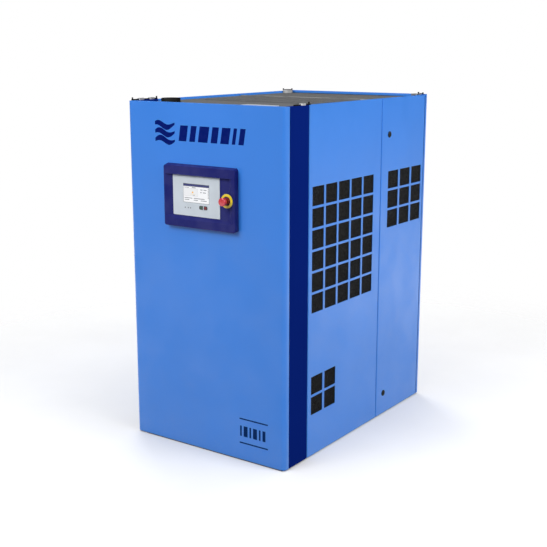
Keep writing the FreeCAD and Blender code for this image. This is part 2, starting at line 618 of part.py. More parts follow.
def indicator_lamps():
    return group(*[cyl(3.0, (x, FACE_Y - 0.8, LAMP_Z), (x, FACE_Y + 2.5, LAMP_Z)) for x in LAMPS_X])


def estop_ring():
    """Yellow ring with a rounded outer edge; it leaves a gap around the collar."""
    ring = tube(ESTOP_RING_R, 20.0, (ESTOP_X, ESTOP_Y - 4, ESTOP_Z), (ESTOP_X, ESTOP_Y, ESTOP_Z))
    return ring.makeFillet(1.5, [e for e in ring.Edges if e.BoundBox.YMax < ESTOP_Y - 3.9])


def estop_body():
    """Fixed part of the emergency stop: collar, threaded barrel and contact block."""
    y = ESTOP_Y
    collar = Part.makeCone(16.0, 14.5, 9, V(ESTOP_X, y, ESTOP_Z), V(0, -1, 0))
    barrel = cyl(11.0, (ESTOP_X, y, ESTOP_Z), (ESTOP_X, y + 43, ESTOP_Z))
    block = box(ESTOP_X - 15, ESTOP_X + 15, y + 43, y + 83, ESTOP_Z - 20, ESTOP_Z + 20)
    bore = cyl(ESTOP_BORE_R, (ESTOP_X, y - 10, ESTOP_Z), (ESTOP_X, y + 63, ESTOP_Z))
    return fuse(collar, barrel, block).cut(bore)


def estop_plunger():
    return cyl(6.0, (ESTOP_X, ESTOP_Y - 27, ESTOP_Z), (ESTOP_X, ESTOP_Y + 50, ESTOP_Z))


def estop_head():
    """Mushroom head that turns on the plunger to release it."""
    y = ESTOP_Y
    outline = [(0, 0), (12.5, 0), (12.5, 8), (14, 11.5), (18.5, 14), (18.5, 21), (17.5, 23.3), (15, 24.5), (0, 25)]
    corners = [V(r, 0, h) for r, h in outline]
    face = Part.Face(Part.makePolygon(corners + [corners[0]]))
    solid = face.revolve(V(0, 0, 0), Z, 360)
    solid.rotate(V(0, 0, 0), X, 90)
    solid.translate(V(ESTOP_X, y - 15.5, ESTOP_Z))
    return solid.cut(cyl(ESTOP_BORE_R, (ESTOP_X, y - 27.6, ESTOP_Z), (ESTOP_X, y - 10, ESTOP_Z)))


# ---- compressor side ------------------------------------------------------------------------------
def electrical_cabinet():
    """Tray for the switchgear, open to the front, hung under the front rail and off the left post."""
    x0, x1, y0, y1, z0, z1 = -(POST_X - TUBE), 130.0, -580.0, -400.0, 640.0, RAIL_TOP - TUBE
    shell = box(x0, x1, y0, y1, z0, z1).cut(box(x0 + 2, x1 - 2, y0 - 1, y1 - 2, z0 + 2, z1 - 2))
    return shell.cut(cyl(22.0, (GROMMET_X, GROMMET_Y, z1 - 3), (GROMMET_X, GROMMET_Y, z1 + 1)))


def switchgear():
    """Contactors, breakers and terminals on DIN rails inside the electrical cabinet."""
    y1 = -402.0
    parts = []
    for x in (-320.0, -220.0, -120.0):
        parts.append(rounded_box(x, x + 80, y1 - 110, y1 - 8, 1330, 1440, 3, Y))
    for i in range(8):
        parts.append(box(-320 + 40 * i, -290 + 40 * i, y1 - 80, y1 - 8, 900, 990))
    parts.append(box(-325, 60, y1 - 60, y1 - 8, 740, 790))
    rails = [box(-335, 100, y1 - 8, y1, z, z + 35) for z in (1365.0, 925.0, 748.0)]
    return group(*parts, *rails)


def drive_motor():
    """Main motor: finned stator housing, end shields, feet and terminal box."""
    y0, y1, r = -555.0, -140.0, 150.0
    body = cyl(r, (SHAFT_X, y0, SHAFT_Z), (SHAFT_X, y1, SHAFT_Z))
    fins = []
    for i in range(28):
        fin = box(r - 3, r + 16, y0 + 50, y1 - 50, -2, 2)
        fin.rotate(V(0, 0, 0), Y, 360.0 * i / 28)
        fin.translate(V(SHAFT_X, 0, SHAFT_Z))
        fins.append(fin)
    shields = [cyl(r + 18, (SHAFT_X, y, SHAFT_Z), (SHAFT_X, y + 30, SHAFT_Z)) for y in (y0 + 5, y1 - 35)]
    foot_x0, foot_x1 = SHAFT_X - 150, SHAFT_X + 150
    feet = [box(foot_x0, foot_x1, y, y + CROSS_W, BASE_H, SHAFT_Z - 100) for y in CROSS_YS[:2]]
    terminal = box(SHAFT_X - 70, SHAFT_X + 70, -380, -240, SHAFT_Z + 120, SHAFT_Z + 230)
    motor = fuse(body, *fins, *shields, *feet, terminal)
    cavity = cyl(96.0, (SHAFT_X, y0 + 40, SHAFT_Z), (SHAFT_X, y1 - 30, SHAFT_Z))
    seat = cyl(24.05, (SHAFT_X, y0 + 20, SHAFT_Z), (SHAFT_X, y1 + 1, SHAFT_Z))
    return motor.cut([cavity, seat])


COUPLING_Y0, COUPLING_Y1 = -130.0, -90.0


def motor_shaft():
    """Motor rotor, shaft and coupling, which turn with the male rotor."""
    shaft = cyl(24.0, (SHAFT_X, -534, SHAFT_Z), (SHAFT_X, COUPLING_Y0, SHAFT_Z))
    core = cyl(94.0, (SHAFT_X, -500, SHAFT_Z), (SHAFT_X, -190, SHAFT_Z))
    hub = cyl(52.0, (SHAFT_X, COUPLING_Y0, SHAFT_Z), (SHAFT_X, COUPLING_Y1, SHAFT_Z))
    bolts = []
    for i in range(6):
        a = math.radians(60 * i)
        bx, bz = SHAFT_X + 38 * math.cos(a), SHAFT_Z + 38 * math.sin(a)
        bolts.append(cyl(6.0, (bx, COUPLING_Y0 - 5, bz), (bx, COUPLING_Y0, bz)))
    return fuse(shaft, core, hub, *bolts)


def twisted(face, length, angle):
    """Extrudes a face in the XY plane along +Z while it turns by angle degrees."""
    pitch = length * 360.0 / abs(angle)
    spine = Part.Wire(Part.makeLine(V(0, 0, 0), V(0, 0, length)))
    guide = Part.Wire(Part.makeHelix(pitch, length, 10.0, 0, angle < 0))
    shell = Part.BRepOffsetAPI.MakePipeShell(spine)
    shell.setAuxiliarySpine(guide, True, False)
    shell.add(face.OuterWire)
    shell.build()
    shell.makeSolid()
    return shell.shape()


def lobed_face(core_r, count, ring_r, lobe_r, add):
    """Disc with circular lobes added to, or flutes cut from, its rim."""
    face = Part.Face(Part.Wire(Part.makeCircle(core_r)))
    for i in range(count):
        a = math.radians(360.0 * i / count)
        centre = V(ring_r * math.cos(a), ring_r * math.sin(a), 0)
        lobe = Part.Face(Part.Wire(Part.makeCircle(lobe_r, centre)))
        face = face.fuse(lobe) if add else face.cut(lobe)
    face = face.removeSplitter()
    return face.Faces[0]


def along_y(shape, x, y0):
    """Stands a shape made along +Z on the plane y = y0, pointing along +Y."""
    shape.rotate(V(0, 0, 0), X, -90)
    shape.translate(V(x, y0, SHAFT_Z))
    return shape


def male_rotor():
    face = lobed_face(MALE_PITCH_R - 1.0, MALE_LOBES, MALE_PITCH_R, LOBE_R - ROTOR_CLEAR, True)
    screw = along_y(twisted(face, ROTOR_L, MALE_TWIST), SHAFT_X, ROTOR_Y0)
    shaft = cyl(20.0, (SHAFT_X, COUPLING_Y1, SHAFT_Z), (SHAFT_X, ROTOR_Y0 + ROTOR_L + 30, SHAFT_Z))
    return screw.fuse(shaft)


def female_rotor():
    face = lobed_face(FEMALE_PITCH_R - ROTOR_CLEAR, FEMALE_LOBES, FEMALE_PITCH_R, LOBE_R, False)
    screw = along_y(twisted(face, ROTOR_L, -MALE_TWIST * MALE_LOBES / FEMALE_LOBES), FEMALE_X, ROTOR_Y0)
    shaft = cyl(20.0, (FEMALE_X, ROTOR_Y0 - 30, SHAFT_Z), (FEMALE_X, ROTOR_Y0 + ROTOR_L + 30, SHAFT_Z))
    return screw.fuse(shaft)


def airend_casing():
    """Cast housing bored for both rotors, with bearing seats, inlet on top and discharge below."""
    y0, y1 = ROTOR_Y0 - 40, ROTOR_Y0 + ROTOR_L + 40
    mid = AIREND_MID_X
    body = rounded_box(mid - 140, mid + 140, y0, y1, SHAFT_Z - 95, SHAFT_Z + 95, 40, Y)
    feet = [box(mid - 120, mid + 120, y, y + CROSS_W, BASE_H, SHAFT_Z - 90) for y in CROSS_YS[2:4]]
    neck = cyl(60.0, (mid, INTAKE_Y, SHAFT_Z + 60), (mid, INTAKE_Y, SHAFT_Z + INTAKE_NECK))
    cast = fuse(body, *feet, neck)
    male_r = MALE_PITCH_R + LOBE_R + 0.4
    female_r = FEMALE_PITCH_R + 0.4
    bores = [cyl(male_r, (SHAFT_X, ROTOR_Y0 - 1, SHAFT_Z), (SHAFT_X, ROTOR_Y0 + ROTOR_L + 1, SHAFT_Z)),
             cyl(female_r, (FEMALE_X, ROTOR_Y0 - 1, SHAFT_Z), (FEMALE_X, ROTOR_Y0 + ROTOR_L + 1, SHAFT_Z)),
             cyl(20.05, (SHAFT_X, y0 - 1, SHAFT_Z), (SHAFT_X, y1 - 8, SHAFT_Z)),
             cyl(20.05, (FEMALE_X, ROTOR_Y0 - 32, SHAFT_Z), (FEMALE_X, y1 - 8, SHAFT_Z)),
             cyl(42.0, (mid, INTAKE_Y, SHAFT_Z + 40), (mid, INTAKE_Y, SHAFT_Z + INTAKE_NECK + 1))]
    return cast.cut(bores)


def intake_valve(z0):
    """Butterfly housing on the airend inlet."""
    c = (AIREND_MID_X, INTAKE_Y)
    body = tube(58, 42, (*c, z0), (*c, z0 + 70))
    flanges = [tube(72, 42, (*c, z), (*c, z + 10)) for z in (z0, z0 + 60)]
    bearing = cyl(14, (c[0] - 75, c[1], z0 + 35), (c[0] + 75, c[1], z0 + 35))
    throat = cyl(42, (*c, z0 - 1), (*c, z0 + 71))
    journal = cyl(6.05, (c[0] - 80, c[1], z0 + 35), (c[0] + 80, c[1], z0 + 35))
    return fuse(body, *flanges, bearing).cut([throat, journal])


def intake_butterfly(z):
    c = (AIREND_MID_X, INTAKE_Y)
    spindle = cyl(6.0, (c[0] - 84, c[1], z), (c[0] + 90, c[1], z))
    disc = cyl(40.5, (*c, z - 2), (*c, z + 2))
    lever = box(c[0] + 80, c[0] + 88, c[1] - 8, c[1] + 8, z - 6, z + 50)
    return fuse(spindle, disc, lever)


def air_filter(z0):
    """Cartridge housing with a conical outlet that stands on the intake valve."""
    c = (AIREND_MID_X, INTAKE_Y)
    can = cyl(105, (*c, z0 + 40), (*c, z0 + 330))
    upper_edges = [e for e in can.Edges if e.BoundBox.ZMin > z0 + 300 and e.BoundBox.ZLength < 1e-6]
    can = can.makeFillet(14, upper_edges)
    cone = Part.makeCone(50, 105, 40, V(*c, z0), Z)
    ribs = [tube(108, 104, (*c, z0 + z), (*c, z0 + z + 8)) for z in (70, 250)]
    return fuse(can, cone, *ribs).cut(cyl(40, (*c, z0 - 1), (*c, z0 + 200)))


def air_intake():
    z0 = SHAFT_Z + INTAKE_NECK
    return group(intake_valve(z0), intake_butterfly(z0 + 35), air_filter(z0 + 70))


TANK_X, TANK_Y, TANK_R, TANK_Z0, TANK_Z1 = -225.0, 400.0, 140.0, 130.0, 860.0
TANK_TOP = TANK_Z1 + 125         # top of the minimum-pressure valve on the lid


def separator_tank():
    """Pressure vessel with a rounded base, top flange and feet, and its bolted lid."""
    c = (TANK_X, TANK_Y)
    shell = cyl(TANK_R, (*c, TANK_Z0), (*c, TANK_Z1))
    shell = shell.makeFillet(45, [e for e in shell.Edges if e.BoundBox.ZMax < TANK_Z0 + 1e-3])
    top = cyl(TANK_R + 25, (*c, TANK_Z1 - 25), (*c, TANK_Z1))
    feet = []
    for fx, fy in ((-80, -45), (80, -45), (-40, 105), (40, 105)):
        px, py = TANK_X + fx, TANK_Y + fy
        feet.append(box(px - 20, px + 20, py - 20, py + 20, BASE_H, TANK_Z0 + 50))
    hollow = cyl(TANK_R - 6, (*c, TANK_Z0 + 6), (*c, TANK_Z1 + 1))
    hollow = hollow.makeFillet(39, [e for e in hollow.Edges if e.BoundBox.ZMax < TANK_Z0 + 7])
    return group(fuse(shell, top, *feet).cut(hollow), separator_lid())


def separator_lid():
    c = (TANK_X, TANK_Y)
    lid = cyl(TANK_R + 25, (*c, TANK_Z1), (*c, TANK_Z1 + 28))
    bolts = []
    for i in range(10):
        a = math.radians(36 * i)
        bx, by = TANK_X + 150 * math.cos(a), TANK_Y + 150 * math.sin(a)
        bolts.append(cyl(9, (bx, by, TANK_Z1 + 28), (bx, by, TANK_Z1 + 38)))
    valve = fuse(cyl(32, (*c, TANK_Z1 + 28), (*c, TANK_Z1 + 100)),
                 cyl(18, (*c, TANK_Z1 + 100), (*c, TANK_TOP)))
    return fuse(lid, *bolts, valve)


OIL_FILTER_X, OIL_FILTER_Y = -313.0, 180.0


def oil_filter():
    """Spin-on filter under its head block, which is screwed to the left middle post."""
    c = (OIL_FILTER_X, OIL_FILTER_Y)
    can = cyl(46, (*c, 440), (*c, 640))
    can = can.makeFillet(10, [e for e in can.Edges if e.BoundBox.ZMax < 441])
    head = rounded_box(-(POST_X - TUBE), c[0] + 50, c[1] - 45, c[1] + 45, 645, 700, 8, Z)
    return fuse(can, cyl(30, (*c, 640), (*c, 646)), head)


def cooler_core():
    """Combined oil and air cooler: side tanks and a stack of fins."""
    x0, x1 = COOLER_C.x - COOLER_LX / 2, COOLER_C.x + COOLER_LX / 2
    y0, y1 = COOLER_C.y - COOLER_LY / 2, COOLER_C.y + COOLER_LY / 2
    tanks = [box(xa, xa + 45, y0, y1, COOLER_Z0, COOLER_Z1) for xa in (x0, x1 - 45)]
    count = 30
    pitch = COOLER_LY / count
    fins = [box(x0 + 45, x1 - 45, y0 + i * pitch + 2, y0 + i * pitch + pitch - 5, COOLER_Z0 + 4, COOLER_Z1 - 4)
            for i in range(count)]
    rails = [box(x0 + 45, x1 - 45, y, y + 6, COOLER_Z0, COOLER_Z1) for y in (y0, y1 - 6)]
    ties = [box(x, x + 3, y0 + 6, y1 - 6, COOLER_Z0 + 10, COOLER_Z1 - 10) for x in (x0 + 180, x1 - 183)]
    return fuse(*tanks, *fins, *rails, *ties)


def fan_shroud():
    """Plate, inlet ring and three arms that carry the fan motor."""
    c = COOLER_C
    x0, x1 = c.x - COOLER_LX / 2, c.x + COOLER_LX / 2
    y0, y1 = c.y - COOLER_LY / 2, c.y + COOLER_LY / 2
    plate = box(x0, x1, y0, y1, COOLER_Z0 - 4, COOLER_Z0)
    ring = cyl(FAN_R + 8, (c.x, c.y, FAN_Z0 - 6), (c.x, c.y, COOLER_Z0 - 2))
    hole = cyl(FAN_R + 5, (c.x, c.y, FAN_Z0 - 10), (c.x, c.y, COOLER_Z0 + 1))
    motor = cyl(62, (c.x, c.y, FAN_Z0 - 150), (c.x, c.y, FAN_Z0 - 8))
    arms = []
    for i in range(3):
        arm = box(50, FAN_R + 8, -7, 7, FAN_Z0 - 20, FAN_Z0 - 8)
        riser = box(FAN_R + 6, FAN_R + 12, -7, 7, FAN_Z0 - 20, FAN_Z0 + 10)
        arm = fuse(arm, riser)
        arm.rotate(V(0, 0, 0), Z, 30 + 120 * i)
        arm.translate(V(c.x, c.y, 0))
        arms.append(arm)
    bore = cyl(12.05, (c.x, c.y, FAN_Z0 - 60), (c.x, c.y, FAN_Z0))
    return fuse(fuse(plate, ring).cut(hole), motor, *arms).cut(bore)


def cooling_fan():
    wheel = blade_ring(9, FAN_HUB_R, FAN_R, FAN_H, 32, 4)
    wheel.translate(V(COOLER_C.x, COOLER_C.y, FAN_Z0))
    shaft = cyl(12.0, (COOLER_C.x, COOLER_C.y, FAN_Z0 - 55), (COOLER_C.x, COOLER_C.y, FAN_Z0 + 2))
    return fuse(wheel, shaft)


# ---- dryer side -----------------------------------------------------------------------------------
def condenser_coil():
    """Finned coil behind the rear door grille, with its end plates and tubes."""
    x0, x1 = COND_X, COND_X + 50
    y0, y1, z0, z1 = COND_Y - 165, COND_Y + 165, COND_Z - 150, COND_Z + 150
    plates = [box(x0, x1, y0, y0 + 3, z0, z1), box(x0, x1, y1 - 3, y1, z0, z1)]
    count = 44
    pitch = (y1 - y0 - 6) / count
    fins = [box(x0 + 5, x1 - 5, y0 + 3 + i * pitch + 1.5, y0 + 3 + i * pitch + pitch - 3, z0 + 4, z1 - 4)
            for i in range(count)]
    tubes = [cyl(5, (x, y0 + 1, z0 + 20 + 32 * k), (x, y1 - 1, z0 + 20 + 32 * k))
             for x in (x0 + 15, x1 - 15) for k in range(9)]
    return fuse(*plates, *tubes, *fins)


def condenser_shroud():
    """Fan plate on the inside of the coil, screwed to the bay divider, with the motor on a bar."""
    x1 = COND_X
    x0 = x1 - 66
    plate = box(x1 - 4, x1, DIVIDER_Y + SHEET, COND_Y + 165, COND_Z - 150, COND_Z + 150)
    ring = cyl(COND_FAN_R + 8, (x1 - 38, COND_Y, COND_Z), (x1 - 2, COND_Y, COND_Z))
    hole = cyl(COND_FAN_R + 5, (x1 - 48, COND_Y, COND_Z), (x1 + 2, COND_Y, COND_Z))
    bar = box(x0, x0 + 16, COND_Y - 12, COND_Y + 12, COND_Z - 140, COND_Z + 140)
    legs = [box(x0, x1, COND_Y - 12, COND_Y + 12, z - 4, z + 4) for z in (COND_Z - 140, COND_Z + 140)]
    motor = cyl(45, (x0 - 62, COND_Y, COND_Z), (x0 + 18, COND_Y, COND_Z))
    bore = cyl(8.05, (x0 - 22, COND_Y, COND_Z), (x0 + 38, COND_Y, COND_Z))
    return fuse(plate.cut(hole), ring.cut(hole), bar, *legs, motor).cut(bore)


def condenser_fan():
    wheel = blade_ring(7, 34, COND_FAN_R, 30, 30, 3)
    wheel.rotate(V(0, 0, 0), Y, 90)
    wheel.translate(V(COND_X - 42, COND_Y, COND_Z))
    shaft = cyl(8.0, (COND_X - 83, COND_Y, COND_Z), (COND_X - 40, COND_Y, COND_Z))
    return fuse(wheel, shaft)


REFR_X, REFR_Y = 270.0, 430.0


def refrigerant_compressor():
    """Hermetic pot on a three-point foot plate, with its terminal cover."""
    c = (REFR_X, REFR_Y)
    pot = cyl(92, (*c, 112), (*c, 380))
    pot = pot.makeFillet(40, [e for e in pot.Edges if e.BoundBox.ZLength < 1e-6])
    seam = cyl(96, (*c, 250), (*c, 258))
    foot = rounded_box(c[0] - 100, c[0] + 90, c[1] - 85, c[1] + 85, 104, 110, 20, Z)
    column = cyl(60, (*c, 108), (*c, 130))
    pads = [cyl(14, (c[0] + px, c[1] + py, BASE_H), (c[0] + px, c[1] + py, 104))
            for px in (-75, 70) for py in (-68, 68)]
    cover = rounded_box(c[0] + 78, c[0] + 118, c[1] - 30, c[1] + 30, 270, 330, 6, X)
    return fuse(pot, seam, foot, column, *pads, cover)


EXCH = (-30.0, 130.0, 415.0, 565.0, 330.0, 900.0)


def heat_exchanger():
    """Insulated air-to-air and air-to-refrigerant block on a floor stand."""
    x0, x1, y0, y1, z0, z1 = EXCH
    block = rounded_box(x0, x1, y0, y1, z0, z1, 14, Z)
    stand = [box(x, x + 30, y0 + 20, y1 - 20, BASE_H, z0) for x in (x0 + 15, x1 - 45)]
    return fuse(block, *stand)


SEP_X, SEP_Y = 230.0, DIVIDER_Y + SHEET + 48


def water_separator():
    """Cyclone bowl under a head that is screwed to the bay divider, with an electronic drain."""
    c = (SEP_X, SEP_Y)
    head = rounded_box(c[0] - 48, c[0] + 48, c[1] - 48, c[1] + 48, 560, 620, 10, Z)
    bowl = cyl(42, (*c, 380), (*c, 562))
    bowl = bowl.makeFillet(16, [e for e in bowl.Edges if e.BoundBox.ZMax < 381])
    drain = rounded_box(c[0] - 32, c[0] + 32, c[1] - 26, c[1] + 26, 270, 350, 8, Z)
    link = cyl(8, (*c, 345), (*c, 385))
    return fuse(head, bowl, drain, link)


def air_pipework():
    """Air and oil lines, each one solid. The dry-air line ends in a threaded socket at the rear."""
    x0, x1, y0, y1, z0, z1 = EXCH
    tank = cyl(TANK_R, (TANK_X, TANK_Y, TANK_Z0), (TANK_X, TANK_Y, TANK_Z1))
    airend_y1 = ROTOR_Y0 + ROTOR_L + 40
    discharge = pipe([(AIREND_MID_X, airend_y1, 270), (AIREND_MID_X, 235, 270), (-70, 235, 270),
                      (-70, 235, 640), (-70, TANK_Y, 640), (-110, TANK_Y, 640)], 22, 3).cut(tank)
    hot = pipe([(TANK_X, TANK_Y, TANK_TOP), (TANK_X, TANK_Y, AIR_PIPE_Z),
                (-HOT_AIR_X, TANK_Y, AIR_PIPE_Z), (-HOT_AIR_X, 190, AIR_PIPE_Z)], 20, 2)
    cooled = pipe([(HOT_AIR_X, 190, AIR_PIPE_Z), (HOT_AIR_X, 300, AIR_PIPE_Z), (90, 300, AIR_PIPE_Z),
                   (90, 490, AIR_PIPE_Z), (90, 490, z1)], 20, 2)
    wet = pipe([(x1, 450, 590), (SEP_X, 450, 590), (SEP_X, SEP_Y + 48, 590)], 16, 2)
    dry = pipe([(10, 490, z1), (10, 490, OUTLET_Z), (OUTLET_X, 490, OUTLET_Z),
                (OUTLET_X, 600, OUTLET_Z)], 20, 2)
    socket = tube(31, 18, (OUTLET_X, 600, OUTLET_Z), (OUTLET_X, HALF_D + 14, OUTLET_Z))
    thread = cyl(OUTLET_THREAD_R, (OUTLET_X, HALF_D - 16, OUTLET_Z), (OUTLET_X, HALF_D + 15, OUTLET_Z))
    drain_end = HALF_D - 12
    drain = pipe([(SEP_X, SEP_Y, 270), (SEP_X, SEP_Y, DRAIN_Z), (DRAIN_X, SEP_Y, DRAIN_Z),
                  (DRAIN_X, drain_end, DRAIN_Z)], 5, 1)
    bulkhead = tube(10, 4, (DRAIN_X, drain_end, DRAIN_Z), (DRAIN_X, HALF_D + 4, DRAIN_Z))
    stub = tube(6, 4, (DRAIN_X, HALF_D + 4, DRAIN_Z), (DRAIN_X, HALF_D + 30, DRAIN_Z))
    oil_z = 675
    oil_out = pipe([(OIL_FILTER_X, OIL_FILTER_Y + 45, oil_z), (OIL_FILTER_X, TANK_Y - 90, oil_z)], 12, 2)
    oil_out = oil_out.cut(tank)
    oil_in = pipe([(OIL_FILTER_X + 50, OIL_FILTER_Y, oil_z), (-180, OIL_FILTER_Y, oil_z),
                   (-180, 150, oil_z), (-180, 150, 330), (AIREND_MID_X - 140, 150, 330)], 12, 2)
    return group(discharge, hot, cooled, wet, fuse(dry, socket).cut(thread),
                 fuse(drain, bulkhead, stub), oil_out, oil_in)


def refrigerant_pipework():
    """Copper lines between the refrigerant compressor, the condenser coil and the exchanger."""
    x1 = EXCH[1]
    c = (REFR_X, REFR_Y)
    coil_x, coil_y0, coil_y1 = COND_X + 25, COND_Y - 165, COND_Y + 165
    pot = cyl(92, (*c, 112), (*c, 380))
    hot_gas = pipe([(*c, 380), (*c, 700), (c[0], coil_y1 + 12, 700), (coil_x, coil_y1 + 12, 700),
                    (coil_x, coil_y1 + 12, COND_Z + 120), (coil_x, coil_y1, COND_Z + 120)], 6, 1)
    liquid = pipe([(coil_x, coil_y0, COND_Z - 130), (coil_x, coil_y0 - 9, COND_Z - 130),
                   (coil_x, coil_y0 - 9, 760), (185, coil_y0 - 9, 760),
                   (185, 480, 760), (x1, 480, 760)], 5, 1)
    filter_drier = cyl(20, (185, 300, 760), (185, 410, 760))
    suction = pipe([(x1, 520, 420), (160, 520, 420), (160, 520, 240), (160, REFR_Y, 240),
                    (200, REFR_Y, 240)], 8, 1)
    return group(hot_gas, fuse(liquid, filter_drier), suction.cut(pot))


# ---- output ---------------------------------------------------------------------------------------
def nodes():
    housings = [latch_housing(z) for z in LATCH_Z]
    upper_core, lower_core = latch_core(LATCH_Z[0], -1), latch_core(LATCH_Z[1], 1)
    fixed_hinges = [fixed_hinge(z) for z in HINGE_Z]
    door_hinges = [door_hinge(z) for z in HINGE_Z]
    strip = side_pan(STRIP_Y0, STRIP_Y1)
    left_foam = [mirrored(pad) for pad in door_foam(840.0, 860.0)]
    return {
        "base_frame": base_frame(),
        "frame_tubes": frame_tubes(),
        "bay_divider": bay_divider(),
        "front_panel": front_panel(),
        "corner_strips": group(strip, mirrored(strip)),
        "right_side_panel": right_side_panel(),
        "left_side_panel": mirrored(side_pan(SIDE_Y0, SIDE_Y1)),
        "rear_panel": rear_panel(),
        "rear_screws": rear_screws(),
        "roof_plates": roof_plates(),
        "exhaust_guard": exhaust_guard(),
        "lug_shoes": lug_shoes(),
        "lug_bars": lug_bars(),
        "cable_grommet": cable_grommet(),
        "intake_filter_mats": group(filter_mat(INTAKE_GRILLE), filter_mat(MOTOR_GRILLE)),
        "right_door": right_door(),
        "right_door_foam": group(*door_foam(945.0, 1290.0)),
        "dryer_filter_mat": filter_mat(DRYER_GRILLE),
        "right_latch_housings": group(*housings),
        "right_latch_upper": upper_core,
        "right_latch_lower": lower_core,
        "right_door_hinges": group(*door_hinges),
        "fixed_hinges": group(*fixed_hinges, *[mirrored(h) for h in fixed_hinges]),
        "left_door": mirrored(door_pan()),
        "left_door_foam": group(*left_foam),
        "left_latch_housings": group(*[mirrored(h) for h in housings]),
        "left_latch_upper": mirrored(upper_core),
        "left_latch_lower": mirrored(lower_core),
        "left_door_hinges": group(*[mirrored(h) for h in door_hinges]),
        "controller_bezel": controller_bezel(),
        "controller_unit": controller_unit(),
        "display_glass": display_glass(),
        "start_key": key(START_X, -1),
        "stop_key": key(STOP_X, 1),
        "indicator_lamps": indicator_lamps(),
        "estop_ring": estop_ring(),
        "estop_body": estop_body(),
        "estop_plunger": estop_plunger(),
        "estop_head": estop_head(),
        "electrical_cabinet": electrical_cabinet(),
        "switchgear": switchgear(),
        "drive_motor": drive_motor(),
        "motor_shaft": motor_shaft(),
        "male_rotor": male_rotor(),
        "female_rotor": female_rotor(),
        "airend_casing": airend_casing(),
        "air_intake": air_intake(),
        "separator_tank": separator_tank(),
        "oil_filter": oil_filter(),
        "cooler_core": cooler_core(),
        "fan_shroud": fan_shroud(),
        "cooling_fan": cooling_fan(),
        "condenser_coil": condenser_coil(),
        "condenser_shroud": condenser_shroud(),
        "condenser_fan": condenser_fan(),
        "refrigerant_compressor": refrigerant_compressor(),
        "heat_exchanger": heat_exchanger(),
        "water_separator": water_separator(),
        "air_pipework": air_pipework(),
        "refrigerant_pipework": refrigerant_pipework(),
    }


def main():
    os.makedirs("parts", exist_ok=True)
    for name, shape in nodes().items():
        shape.exportStep("parts/" + name + ".step")


main()
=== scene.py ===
import math
import random
from collections import namedtuple

import bmesh
import bpy
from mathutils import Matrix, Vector

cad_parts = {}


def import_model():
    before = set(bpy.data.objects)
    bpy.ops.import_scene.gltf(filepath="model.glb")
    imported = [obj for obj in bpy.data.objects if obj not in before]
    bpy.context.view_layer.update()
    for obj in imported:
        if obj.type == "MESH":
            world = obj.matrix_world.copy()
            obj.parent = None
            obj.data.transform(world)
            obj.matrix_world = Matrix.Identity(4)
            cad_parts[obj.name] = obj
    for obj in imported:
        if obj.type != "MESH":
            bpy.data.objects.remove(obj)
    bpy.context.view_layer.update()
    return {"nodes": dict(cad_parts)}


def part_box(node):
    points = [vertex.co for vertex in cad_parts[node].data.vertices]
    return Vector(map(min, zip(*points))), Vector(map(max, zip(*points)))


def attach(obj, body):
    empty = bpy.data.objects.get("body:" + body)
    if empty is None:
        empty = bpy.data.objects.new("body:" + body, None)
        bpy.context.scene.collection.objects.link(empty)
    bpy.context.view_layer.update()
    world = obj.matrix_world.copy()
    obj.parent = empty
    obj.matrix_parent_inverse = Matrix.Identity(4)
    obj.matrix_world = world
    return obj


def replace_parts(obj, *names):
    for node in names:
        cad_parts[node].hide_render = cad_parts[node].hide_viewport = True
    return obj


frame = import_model()
random.seed(11)

# Places that the soft pieces, films and masks are worked out from, in metres.
FRONT_FACE_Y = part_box("front_panel")[0].y
KEY_FACE_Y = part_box("start_key")[0].y
SCREEN_LOW, SCREEN_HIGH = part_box("display_glass")
INTAKE_LOW, INTAKE_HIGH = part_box("intake_filter_mats")
DRYER_LOW, DRYER_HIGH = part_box("dryer_filter_mat")
PAD_LOW, PAD_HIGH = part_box("right_door_foam")
COOLER_LOW, COOLER_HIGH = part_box("cooler_core")
COIL_LOW, COIL_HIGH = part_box("condenser_coil")
LATCH_LOW, LATCH_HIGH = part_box("right_latch_housings")
LATCH_HALF = 0.017
LATCH_HEIGHTS = (LATCH_HIGH.z - LATCH_HALF, LATCH_LOW.z + LATCH_HALF)
SEAL_RADIUS = 0.0028
SEAL_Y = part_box("right_door")[0].y + 0.0047


